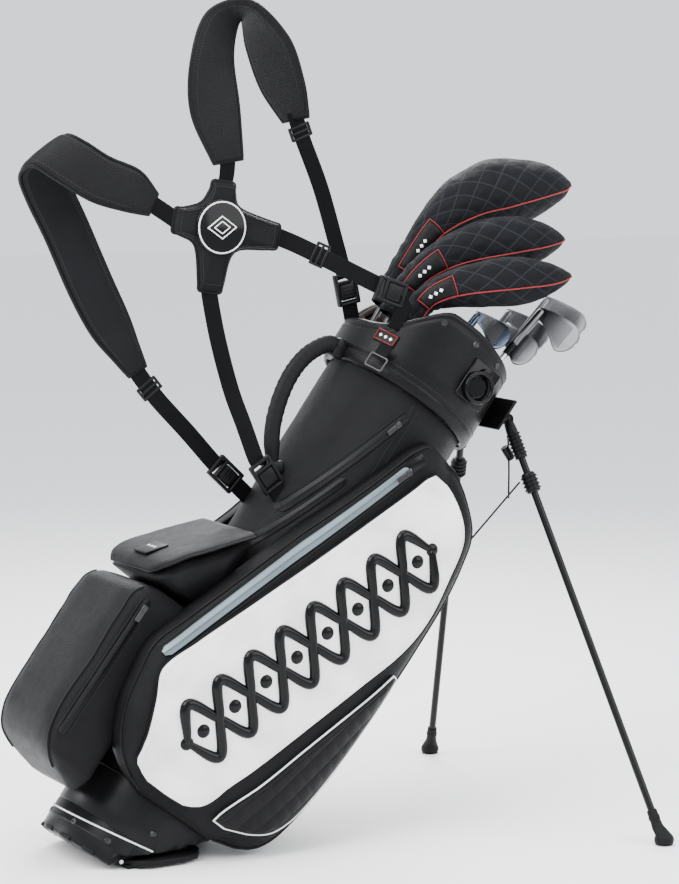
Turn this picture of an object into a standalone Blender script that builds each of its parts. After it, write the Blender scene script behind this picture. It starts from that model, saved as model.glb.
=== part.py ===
"""Golf club set in a stand bag: the bag leans on two hinged legs and a folding foot plate.

Everything on the bag is laid out in the bag's own frame, an empty that leans towards the legs:
local Z runs up the bag, local X points to the leg side and local -Y is the near side.
The world origin is the middle of the foot plate's underside, on the floor.
"""

import math

import bmesh
import bpy
from mathutils import Matrix, Vector

# Driving dimensions, in metres and degrees.
LEAN = 37.5
SIDES = 28
GAP = 0.0004
AXIS_X0 = -0.017
AXIS_SLOPE = -0.026
BODY_A = 0.112
BODY_B = 0.108
BODY_WALL = 0.003
BODY_LOW = 0.076
BODY_TOP = 0.800
BOOT_LOW = -0.040
BOOT_FLOOR = 0.035
CUFF_LOW = 0.748
CUFF_A = 0.125
CUFF_B = 0.120
CUFF_RIM = 0.884
CUFF_RIM_BACK = 0.815
PLATE_BACK = -0.066
PLATE_FRONT = 0.072
PLATE_HALF_WIDTH = 0.118
PLATE_THICK = 0.009
PAD_HEIGHT = 0.003
HINGE_X = -0.058
HINGE_Z = 0.0115
PIVOT_X = 0.105
PIVOT_Y = 0.063
PIVOT_Z = 0.824
FOOT_X = 0.685
FOOT_Y = 0.336
LEG_RADIUS = 0.0055
COLLAR_AT = 0.100
FACE_Y = 0.147
POCKET_SIDE = 0.088
SHAFT_FLOOR = 0.046
PANEL_LIFT = 0.0031
COVER_WALL = 0.0035


def clear_scene():
    for old in list(bpy.data.objects):
        bpy.data.objects.remove(old)


def material(name, colour, roughness, metallic=0.0):
    made = bpy.data.materials.new(name)
    made.use_nodes = True
    shader = made.node_tree.nodes["Principled BSDF"]
    shader.inputs["Base Color"].default_value = (*colour, 1.0)
    shader.inputs["Roughness"].default_value = roughness
    shader.inputs["Metallic"].default_value = metallic
    made.diffuse_color = (*colour, 1.0)
    return made


BLACK = (0.018, 0.018, 0.020)
FINISHES = {
    "coated_fabric": (BLACK, 0.55),
    "webbing": ((0.012, 0.012, 0.013), 0.85),
    "mesh_pad": ((0.020, 0.021, 0.026), 0.80),
    "moulding": ((0.015, 0.015, 0.016), 0.42),
    "rubber": ((0.020, 0.020, 0.020), 0.75),
    "white_leather": ((0.86, 0.86, 0.84), 0.38),
    "fleece": ((0.045, 0.024, 0.020), 0.95),
    "grey_zip": ((0.42, 0.50, 0.53), 0.45),
    "black_leg": ((0.010, 0.010, 0.011), 0.12, 0.6),
    "bright_steel": ((0.75, 0.76, 0.78), 0.12, 1.0),
    "satin_steel": ((0.60, 0.61, 0.62), 0.32, 1.0),
    "dark_steel": ((0.10, 0.12, 0.16), 0.30, 0.9),
    "graphite": ((0.03, 0.03, 0.035), 0.20),
    "cover_fabric": ((0.030, 0.034, 0.045), 0.80),
    "pull_metal": ((0.25, 0.25, 0.26), 0.30, 0.9),
}
MATERIALS = {}


def new_object(name, mesh, finish, parent=None, location=(0.0, 0.0, 0.0)):
    made = bpy.data.objects.new(name, mesh)
    bpy.context.scene.collection.objects.link(made)
    if finish:
        mesh.materials.append(MATERIALS[finish])
    made.parent = parent
    made.location = location
    return made


def finish_mesh(name, builder, finish, parent, location):
    bmesh.ops.recalc_face_normals(builder, faces=builder.faces)
    mesh = bpy.data.meshes.new(name)
    builder.to_mesh(mesh)
    builder.free()
    mesh.shade_smooth()
    mesh.set_sharp_from_angle(angle=math.radians(40))
    return new_object(name, mesh, finish, parent, location)


def loft(name, rings, finish, parent=None, location=(0.0, 0.0, 0.0), closed=False):
    """One closed solid through rings of equally many points; closed joins the last ring to the first."""
    builder = bmesh.new()
    offset = Vector(location)
    rows = [[builder.verts.new(Vector(point) - offset) for point in ring] for ring in rings]
    count = len(rows[0])
    pairs = list(zip(rows, rows[1:]))
    if closed:
        pairs.append((rows[-1], rows[0]))
    for low, high in pairs:
        for i in range(count):
            j = (i + 1) % count
            builder.faces.new((low[i], low[j], high[j], high[i]))
    if not closed:
        builder.faces.new(rows[0])
        builder.faces.new(rows[-1])
    return finish_mesh(name, builder, finish, parent, location)


def box(name, size, centre, finish, parent=None, turn=None, bevel=0.0):
    """A box about its centre, turned by a matrix or about its axes."""
    builder = bmesh.new()
    bmesh.ops.create_cube(builder, size=1.0)
    bmesh.ops.scale(builder, vec=size, verts=builder.verts)
    made = finish_mesh(name, builder, finish, parent, (0.0, 0.0, 0.0))
    made.location = centre
    if turn is not None:
        made.rotation_euler = turn.to_euler()
    if bevel:
        edge = made.modifiers.new("edge", "BEVEL")
        edge.width = bevel
        edge.segments = 1
    return made


def turned(direction):
    """The rotation that takes +Z to a direction."""
    return Vector((0, 0, 1)).rotation_difference(Vector(direction).normalized()).to_matrix()


def cylinder(name, radius, length, centre, axis, finish, parent=None, sides=12, tip=None):
    """A cylinder or cone along an axis, centred."""
    builder = bmesh.new()
    top = radius if tip is None else tip
    bmesh.ops.create_cone(
        builder, cap_ends=True, segments=sides, radius1=radius, radius2=top, depth=length
    )
    made = finish_mesh(name, builder, finish, parent, (0.0, 0.0, 0.0))
    made.location = centre
    made.rotation_euler = turned(axis).to_euler()
    return made


def helper(made):
    made.hide_render = True
    made.display_type = "WIRE"
    return made


def boolean(made, other, operation):
    step = made.modifiers.new(operation.lower(), "BOOLEAN")
    step.operation = operation
    step.solver = "EXACT"
    step.object = helper(other)


def tube(name, points, radius, finish, parent=None, resolution=2, cyclic=False):
    """A round bar along a curve through the points, with filled ends."""
    curve = bpy.data.curves.new(name, "CURVE")
    curve.dimensions = "3D"
    curve.bevel_depth = radius
    curve.bevel_resolution = resolution
    curve.use_fill_caps = True
    line = curve.splines.new("POLY")
    line.points.add(len(points) - 1)
    for spot, point in zip(line.points, points):
        spot.co = (*point, 1.0)
    line.use_cyclic_u = cyclic
    return new_object(name, curve, finish, parent)


def smooth(points, steps=6):
    """Points along a smooth curve through the given ones."""
    spots = [Vector(point) for point in points]
    ends = [2 * spots[0] - spots[1], *spots, 2 * spots[-1] - spots[-2]]
    result = []
    for a, b, c, d in zip(ends, ends[1:], ends[2:], ends[3:]):
        for i in range(steps):
            t = i / steps
            result.append(
                0.5 * (2 * b + (c - a) * t + (2 * a - 5 * b + 4 * c - d) * t**2
                       + (3 * b - a - 3 * c + d) * t**3)
            )
    result.append(spots[-1])
    return result


def band(name, stations, thickness, finish, parent=None, steps=5, round_edge=False):
    """A strap along a smooth curve: each station is a point and its half-width vector."""
    line = smooth([point for point, _ in stations], steps)
    widths = smooth([width for _, width in stations], steps)
    rings = []
    for i, (point, width) in enumerate(zip(line, widths)):
        along = line[min(i + 1, len(line) - 1)] - line[max(i - 1, 0)]
        up = along.cross(width).normalized() * thickness / 2
        if round_edge:
            rings.append([point + width + 0.3 * up, point + 0.8 * width + up, point - 0.8 * width + up,
                          point - width + 0.3 * up, point - width - 0.3 * up, point - 0.8 * width - up,
                          point + 0.8 * width - up, point + width - 0.3 * up])
        else:
            rings.append([point + width + up, point - width + up, point - width - up, point + width - up])
    return loft(name, rings, finish, parent)


def axis_x(z):
    """The body's centre line: its X at a height."""
    return AXIS_X0 + AXIS_SLOPE * z


def oval(z, a, b, top=None):
    """A level ring round the body's centre line; top gives each point its own height."""
    ring = []
    for i in range(SIDES):
        angle = 2 * math.pi * i / SIDES
        height = top(angle) if top else z
        ring.append((axis_x(z) + a * math.cos(angle), -b * math.sin(angle), height))
    return ring


def half_width(x, z, grow=0.0):
    """The body's half width in Y where its wall is at X."""
    across = (x - axis_x(z)) / (BODY_A + grow)
    return (BODY_B + grow) * math.sqrt(max(0.0, 1 - across * across))


def between(table, z):
    """Linear interpolation in a table of rows that start with a height."""
    if z <= table[0][0]:
        return table[0][1:]
    for low, high in zip(table, table[1:]):
        if z <= high[0]:
            t = (z - low[0]) / (high[0] - low[0])
            return [a + (b - a) * t for a, b in zip(low[1:], high[1:])]
    return table[-1][1:]


# Height, back edge, front edge, fullness.
SIDE_POCKET = (
    (0.066, -0.090, 0.030, 0.10), (0.080, -0.130, 0.088, 0.45), (0.105, -0.165, 0.118, 0.75),
    (0.150, -0.192, 0.134, 0.95), (0.200, -0.203, 0.143, 1.0), (0.245, -0.207, 0.149, 1.0),
    (0.300, -0.186, 0.152, 1.0), (0.380, -0.154, 0.154, 1.0), (0.460, -0.122, 0.154, 1.0),
    (0.540, -0.091, 0.151, 1.0), (0.600, -0.068, 0.142, 0.95), (0.645, -0.051, 0.128, 0.80),
    (0.680, -0.038, 0.088, 0.60), (0.705, -0.020, 0.050, 0.15),
)
FRONT_PANEL = (
    (0.082, -0.100, -0.040), (0.095, -0.132, -0.018), (0.115, -0.142, -0.006), (0.135, -0.149, 0.0),
    (0.180, -0.168, 0.020), (0.222, -0.184, 0.037), (0.281, -0.162, 0.060), (0.360, -0.127, 0.091),
    (0.443, -0.091, 0.123), (0.500, -0.067, 0.131), (0.572, -0.037, 0.120), (0.616, -0.018, 0.112),
    (0.641, -0.007, 0.096), (0.660, 0.001, 0.070), (0.674, 0.012, 0.040),
)
HIP_PANEL = (
    (0.090, 0.012, 0.035), (0.104, 0.014, 0.075), (0.125, 0.022, 0.105), (0.167, 0.041, 0.126),
    (0.232, 0.065, 0.137), (0.300, 0.091, 0.144), (0.366, 0.117, 0.147), (0.405, 0.131, 0.143),
)


def pocket_inner(x, z):
    return max(half_width(x, z, 0.006), POCKET_SIDE)


def pocket_face(x, z):
    """How far out in Y the side pocket's face is at a place on it."""
    back, front, fullness = between(SIDE_POCKET, z)
    across = (2 * x - back - front) / (front - back)
    edge = pocket_inner(x, z) + 0.012
    crown = math.sqrt(max(0.0, 1 - abs(across) ** 6))
    return edge + (FACE_Y - edge) * fullness * crown


def side_pocket(name, side, bag):
    """A full pocket on one side; side is -1 for the near one and +1 for the far one."""
    rings = []
    for row in SIDE_POCKET:
        z, back, front = row[:3]
        spots = [back + (front - back) * (1 - math.cos(math.pi * i / 14)) / 2 for i in range(15)]
        outer = [(x, side * pocket_face(x, z), z) for x in spots]
        inner = [(x, side * pocket_inner(x, z), z) for x in reversed(spots)]
        rings.append(outer + inner)
    return loft(name, rings, "coated_fabric", bag)


def pocket_panel(name, table, finish, bag, thickness=0.003, columns=8):
    """A sewn-on panel that follows the near pocket's face."""
    rings = []
    for z, back, front in table:
        spots = [back + (front - back) * i / columns for i in range(columns + 1)]
        outer = [(x, -pocket_face(x, z) - PANEL_LIFT - thickness, z) for x in spots]
        inner = [(x, -pocket_face(x, z) - PANEL_LIFT, z) for x in reversed(spots)]
        rings.append(outer + inner)
    return loft(name, rings, finish, bag)


def zip_strip(name, start, end, width, surface, lift, finish, bag, steps=8):
    """A zip tape in a straight line over a surface given as Y of (x, z)."""
    start = Vector((start[0], 0.0, start[1]))
    end = Vector((end[0], 0.0, end[1]))
    along = (end - start).normalized()
    across = Vector((-along.z, 0.0, along.x)) * width / 2
    rings = []
    for i in range(steps + 1):
        spot = start.lerp(end, i / steps)
        corners = []
        for edge, depth in ((-1, lift), (1, lift), (1, lift + 0.003), (-1, lift + 0.003)):
            place = spot + across * edge
            corners.append((place.x, -surface(place.x, place.z) - depth, place.z))
        rings.append(corners)
    return loft(name, rings, finish, bag)


def make_base(bag):
    """The moulded boot, its hinge pin and the foot plate that stays flat on the floor."""
    boot = loft("base_boot", [oval(z, BODY_A - 0.001, BODY_B - 0.001) for z in (BOOT_LOW, 0.0, 0.04, 0.0755)],
                "moulding", bag)
    inside = loft("boot_inside", [oval(z, BODY_A - 0.005, BODY_B - 0.005) for z in (BOOT_FLOOR, 0.12)],
                  None, bag)
    floor_cut = box("boot_floor_cut", (0.6, 0.6, 0.3), (0.0, 0.0, PLATE_THICK + 0.0135 - 0.15), None)
    boolean(inside, floor_cut, "DIFFERENCE")
    boolean(boot, inside, "DIFFERENCE")
    plate_cut = box("boot_plate_cut", (0.6, 0.6, 0.3), (HINGE_X - 0.0155 + 0.3, 0.0, 0.0192 - 0.15), None)
    boolean(boot, plate_cut, "DIFFERENCE")
    heel = box("heel_recess", (0.026, 0.11, 0.066), (-0.098, 0.0, -0.008), None, bag)
    boolean(boot, heel, "DIFFERENCE")
    for side in (-1, 1):
        lug = box("boot_lug", (0.014, 0.007, 0.022), (HINGE_X, side * 0.0965, HINGE_Z + 0.0055), None)
        boolean(boot, lug, "UNION")
    bore = cylinder("boot_bore", 0.0034, 0.24, (HINGE_X, 0.0, HINGE_Z), (0, 1, 0), None, sides=12)
    boolean(boot, bore, "DIFFERENCE")
    cylinder("base_hinge_pin", 0.003, 0.2, (HINGE_X, 0.0, HINGE_Z), (0, 1, 0), "bright_steel", sides=12)

    outline = [(-0.054, -0.089), (-0.046, -0.092), (-0.040, -0.110), (-0.02, -PLATE_HALF_WIDTH),
               (0.03, -PLATE_HALF_WIDTH + 0.002), (0.058, -0.106), (PLATE_FRONT, -0.080)]
    outline += [(x, -y) for x, y in reversed(outline)]
    rings = [[(x, y, z) for x, y in outline] for z in (PAD_HEIGHT, PAD_HEIGHT + PLATE_THICK)]
    plate = loft("foot_plate", rings, "rubber", None, (HINGE_X, 0.0, HINGE_Z))
    pads = ((0.0, 0.0, 0.030, 0.060), (0.052, 0.070, 0.026, 0.030), (0.052, -0.070, 0.026, 0.030),
            (-0.036, 0.085, 0.026, 0.030), (-0.036, -0.085, 0.026, 0.030))
    for x, y, length, width in pads:
        pad = box("pad", (length, width, PAD_HEIGHT + 0.004), (x, y, (PAD_HEIGHT + 0.004) / 2), None)
        boolean(plate, pad, "UNION")
    knuckle = cylinder("knuckle", 0.0072, 0.184, (HINGE_X, 0.0, HINGE_Z), (0, 1, 0), None, sides=14)
    boolean(plate, knuckle, "UNION")
    plate_bore = cylinder("plate_bore", 0.0033, 0.24, (HINGE_X, 0.0, HINGE_Z), (0, 1, 0), None, sides=12)
    boolean(plate, plate_bore, "DIFFERENCE")


def rim_height(drop=0.0):
    """The cuff's rim: level in front and at the sides, dipping to the strap side."""
    def height(angle):
        back = max(0.0, -math.cos(angle) - 0.35) / 0.65
        smooth_back = back * back * (3 - 2 * back)
        return CUFF_RIM - drop - (CUFF_RIM - CUFF_RIM_BACK) * smooth_back - 0.012 * max(0.0, math.cos(angle))
    return height


def make_body(bag):
    """The bag's tube, its top cuff with a soft lining, the divider grid and the spine stay."""
    wall = BODY_WALL
    rings = [oval(z, BODY_A, BODY_B) for z in (BODY_LOW, 0.3, 0.55, BODY_TOP)]
    rings += [oval(z, BODY_A - wall, BODY_B - wall) for z in (BODY_TOP, 0.55, 0.3, BODY_LOW)]
    loft("bag_body", rings, "coated_fabric", bag, closed=True)

    inner_a = BODY_A + GAP
    inner_b = BODY_B + GAP
    top = 0.86
    cuff = [oval(CUFF_LOW, CUFF_A - 0.008, CUFF_B - 0.008), oval(CUFF_LOW + 0.012, CUFF_A, CUFF_B),
            oval(top, CUFF_A, CUFF_B, rim_height(0.008)), oval(top, CUFF_A - 0.005, CUFF_B - 0.005, rim_height()),
            oval(top, inner_a + 0.002, inner_b + 0.002, rim_height(0.003)),
            oval(top, inner_a, inner_b, rim_height(0.012)), oval(CUFF_LOW, inner_a, inner_b)]
    loft("top_cuff", cuff, "moulding", bag, closed=True)
    lining = [oval(BODY_TOP + GAP, inner_a - GAP, inner_b - GAP), oval(top, inner_a - GAP, inner_b - GAP, rim_height(0.014)),
              oval(top, inner_a - 0.004, inner_b - 0.004, rim_height(0.012)),
              oval(BODY_TOP + GAP, inner_a - 0.004, inner_b - 0.004)]
    loft("cuff_lining", lining, "fleece", bag, closed=True)

    middle = 0.766
    deep = 0.13
    cross_x = -0.067
    reach = half_width(cross_x, middle, -wall - 0.004)
    grid = box("divider_grid", (0.004, 2 * reach, deep), (cross_x, 0.0, middle), "fleece", bag)
    for y, toward in ((0.018, 1), (-0.012, -1), (0.038, -1)):
        run = axis_x(middle) + toward * (BODY_A - wall - 0.004) * math.sqrt(1 - (y / (BODY_B - wall)) ** 2)
        arm = box("divider_arm", (abs(run - cross_x), 0.004, deep), ((run + cross_x) / 2, y, middle), None, bag)
        boolean(grid, arm, "UNION")

    stay = [(axis_x(z) - 0.1015, 0.020, z) for z in (0.082, 0.690)]
    tube("spine_stay", stay, 0.003, "graphite", bag)


def make_pockets(bag):
    """Both side pockets, the panels on the near one, the ball pocket and the valuables pocket."""
    side_pocket("near_side_pocket", -1, bag)
    side_pocket("far_side_pocket", 1, bag)
    pocket_panel("white_panel", FRONT_PANEL, "white_leather", bag)
    pocket_panel("hip_panel", HIP_PANEL, "coated_fabric", bag, 0.004, 5)

    # Height and the back face's X.
    backs = ((0.020, -0.170), (0.035, -0.228), (0.060, -0.254), (0.100, -0.262), (0.200, -0.265),
             (0.285, -0.266), (0.304, -0.258), (0.312, -0.240))
    rings = []
    for z, back in backs:
        wide = min(1.0, 0.75 + 0.25 * (-back - 0.170) / 0.06)
        corner = max(back + 0.020, -0.238)
        half = [(back, 0.0), (back + 0.002, 0.045 * wide), (back + 0.006, 0.074 * wide),
                (corner, 0.094 * wide), (min(corner + 0.03, -0.2105), 0.100 * wide), (-0.2095, 0.084 * wide)]
        half += [(axis_x(z) - (BODY_A + 0.002) * math.sqrt(1 - (y / 0.110) ** 2), y)
                 for y in (0.084 * wide, 0.06, 0.03, 0.0)]
        ring = [(x, y, z) for x, y in half]
        ring += [(x, -y, z) for x, y in reversed(half[1:-1])]
        rings.append(ring)
    loft("ball_pocket", rings, "coated_fabric", bag)

    profile = ((-0.1475, 0.3200), (-0.2360, 0.3200), (-0.2330, 0.3480), (-0.2100, 0.3760), (-0.1475, 0.4480))
    rings = []
    for y in (-0.085, -0.079, -0.03, 0.03, 0.079, 0.085):
        shrink = 0.006 if abs(y) > 0.08 else 0.0
        middle = (-0.19, 0.36)
        rings.append([(x + shrink * (1 if x < middle[0] else -1) * (x < -0.15),
                       y, z + shrink * (1 if z < middle[1] else -1)) for x, z in profile])
    loft("valuables_pocket", rings, "coated_fabric", bag)
    slope = ((-0.1480, 0.4500), (-0.2115, 0.3790), (-0.2400, 0.3420), (-0.2440, 0.3250),
             (-0.2490, 0.3250), (-0.2450, 0.3450), (-0.2160, 0.3830), (-0.1480, 0.4580))
    rings = [[(x, y, z) for x, z in slope] for y in (-0.097, -0.05, 0.0, 0.05, 0.097)]
    loft("valuables_flap", rings, "coated_fabric", bag, (-0.148, 0.0, 0.454))


def make_zips(bag):
    """The rain zip's tape and the three zip pulls."""
    grey_low, grey_high = (-0.192, 0.238), (-0.030, 0.656)
    zip_strip("rain_zip", grey_low, grey_high, 0.012, pocket_face, PANEL_LIFT, "grey_zip", bag)
    upper_low, upper_high = (-0.116, 0.545), (-0.062, 0.715)

    def pull(name, spot, along):
        turn = Matrix.Rotation(math.atan2(along[0], along[1]), 3, "Y")
        box(name, (0.010, 0.004, 0.026), spot, "pull_metal", bag, turn, 0.0008)

    rain = (grey_high[0] - grey_low[0], grey_high[1] - grey_low[1])
    spot = (grey_high[0] - 0.006, grey_high[1] - 0.016)
    pull("rain_zip_pull", (spot[0], -pocket_face(*spot) - PANEL_LIFT - 0.0085, spot[1]), rain)
    upper = (upper_high[0] - upper_low[0], upper_high[1] - upper_low[1])
    spot = (upper_high[0] - 0.006, upper_high[1] - 0.020)
    pull("upper_zip_pull", (spot[0], -half_width(*spot) - 0.0045, spot[1]), upper)
    pull("ball_zip_pull", (-0.2375, -0.1015, 0.268), (0.0, 1.0))


def make_fittings(bag):
    """The grab handle, the towel ring and the accessory ring."""
    handle = smooth([(-0.1630, -0.012, 0.757), (-0.185, -0.014, 0.752), (-0.205, -0.016, 0.715),
                     (-0.207, -0.018, 0.665), (-0.188, -0.020, 0.605), (-0.1495, -0.022, 0.552)], 4)
    tube("grab_handle", handle, 0.011, "rubber", bag, 3)

    ring_y = -CUFF_B - 0.0095
    pivot = (0.000, ring_y, 0.837)
    ring = [(pivot[0] + 0.0215 * math.sin(2 * math.pi * i / 20), ring_y,
             pivot[2] - 0.0215 - 0.0215 * math.cos(2 * math.pi * i / 20)) for i in range(20)]
    made = tube("towel_ring", [(x - pivot[0], 0.0, z - pivot[2]) for x, _, z in ring], 0.0032, "moulding", bag, 1, True)
    made.location = pivot
    spot = Vector((-0.1420, -0.0905, 0.768))
    across = Vector((0.60, -0.80, 0.0))
    corners = [spot + across * u * 0.014 + Vector((0, 0, w)) for u, w in
               ((-1, 0.0), (1, 0.0), (1, -0.020), (-1, -0.020))]
    made = tube("accessory_ring", [corner - spot for corner in corners], 0.0016, "moulding", bag, 1, True)
    made.location = spot


def leg_points(side):
    """Pivot, foot and unit direction of one leg in the bag's frame."""
    lean = math.radians(LEAN)
    pivot = Vector((PIVOT_X, side * PIVOT_Y, PIVOT_Z))
    foot = Vector((FOOT_X * math.cos(lean), side * FOOT_Y, FOOT_X * math.sin(lean)))
    return pivot, foot, (foot - pivot).normalized()


def folded_direction(side):
    return Vector((0.042, -side * 0.018, -0.659)).normalized()


def make_legs(bag):
    """The bracket with its two pins, and for each leg its elbow, collared tube, foot and push wire."""
    bracket = box("leg_bracket", (0.005, 0.164, 0.052), (0.0903, 0.0, 0.824), "moulding", bag)
    anchor = box("cord_anchor", (0.022, 0.058, 0.012), (0.1025, -0.008, 0.834), None, bag)
    boolean(bracket, anchor, "UNION")
    for word, side in (("near", -1), ("far", 1)):
        pivot, foot, along = leg_points(side)
        axis = along.cross(folded_direction(side)).normalized()
        if axis.x < 0:
            axis = -axis
        pin = cylinder("pin", 0.0034, 0.034, pivot - axis * 0.0080, axis, None, bag)
        boolean(bracket, pin, "UNION")
        elbow_line = smooth([pivot, pivot + along * 0.018 + Vector((0.002, 0, 0.0015)),
                             pivot + along * 0.040, pivot + along * 0.062], 3)
        rings = []
        frame = turned(along)
        for i, point in enumerate(elbow_line):
            radius = 0.0085 if i < 7 else 0.0098
            rings.append([point + frame @ Vector((radius * math.cos(a), radius * math.sin(a), 0.0))
                          for a in (2 * math.pi * k / 12 for k in range(12))])
        elbow = loft(f"{word}_leg_elbow", rings, "moulding", bag)
        eye = cylinder("eye", 0.009, 0.012, pivot, axis, None, bag, 16)
        boolean(elbow, eye, "UNION")
        bore = cylinder("eye_bore", 0.0038, 0.05, pivot, axis, None, bag, 12)
        boolean(elbow, bore, "DIFFERENCE")
        socket = cylinder("tube_socket", LEG_RADIUS + 0.0004, 0.04, pivot + along * 0.060, along, None, bag, 14)
        boolean(elbow, socket, "DIFFERENCE")

        length = (foot - pivot).length
        leg = cylinder(f"{word}_leg_tube", LEG_RADIUS, length - 0.020 - 0.042, pivot + along * (0.042 + (length - 0.062) / 2),
                       along, "black_leg", bag, 14)
        inner = LEG_RADIUS - 0.0015
        collar = [(inner, -0.015), (0.0105, -0.015), (0.0105, -0.009), (0.0125, -0.008), (0.0125, -0.004),
                  (0.0105, -0.003), (0.0105, 0.003), (0.0125, 0.004), (0.0125, 0.008), (0.0105, 0.009),
                  (0.0105, 0.015), (inner, 0.015)]
        centre = pivot + along * COLLAR_AT
        rings = [[centre + frame @ Vector((r * math.cos(a), r * math.sin(a), h)) for r, h in collar]
                 for a in (2 * math.pi * k / 14 for k in range(14))]
        boolean(leg, loft("collar", rings, None, bag, closed=True), "UNION")

        tip_rings = []
        for at, radius in ((length - 0.052, 0.0072), (length - 0.026, 0.0085)):
            tip_rings.append([pivot + along * at + frame @ Vector((radius * math.cos(a), radius * math.sin(a), 0.0))
                              for a in (2 * math.pi * k / 14 for k in range(14))])
        down = Matrix.Rotation(-math.radians(LEAN), 3, "Y")
        for height, radius in ((0.010, 0.0140), (0.0, 0.0125)):
            ring = []
            for k in range(14):
                a = 2 * math.pi * k / 14
                spoke = frame @ Vector((math.cos(a), math.sin(a), 0.0))
                flat = down.inverted() @ spoke
                flat.z = 0.0
                flat.normalize()
                ring.append(down @ Vector((FOOT_X + radius * flat.x, side * FOOT_Y + radius * flat.y, height)))
            tip_rings.append(ring)
        tip = loft(f"{word}_leg_foot", tip_rings, "rubber", bag)
        hole = cylinder("foot_hole", LEG_RADIUS + 0.0004, 0.04, pivot + along * (length - 0.0395), along, None, bag, 14)
        boolean(tip, hole, "DIFFERENCE")

        top = centre + Vector((-0.0128, -side * 0.0060, -0.0085))
        low = Vector((0.1045, side * 0.040, 0.2000))
        tube(f"{word}_push_wire", [top, low], 0.0013, "bright_steel", bag, 1)


def make_pull_cord(bag):
    """The elastic cord that gathers the near leg, with its cord lock."""
    pivot, _, along = leg_points(-1)
    top = Vector((0.1208, -0.0400, 0.8256))
    low = pivot + along * COLLAR_AT + Vector((-0.0100, 0.0130, -0.0360))
    tube("pull_cord", smooth([top, top.lerp(low, 0.5) + Vector((0.002, 0.0, 0.0)), low], 8), 0.0014, "webbing", bag, 2)
    spot = top.lerp(low, 0.40) + Vector((0.0018, 0.0, 0.0))
    lock = cylinder("cord_lock", 0.0065, 0.022, spot, (1.0, 0.0, -0.35), "moulding", bag, 10)
    hole = cylinder("cord_hole", 0.0024, 0.03, spot, low - top, None, bag, 10)
    boolean(lock, hole, "DIFFERENCE")


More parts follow.
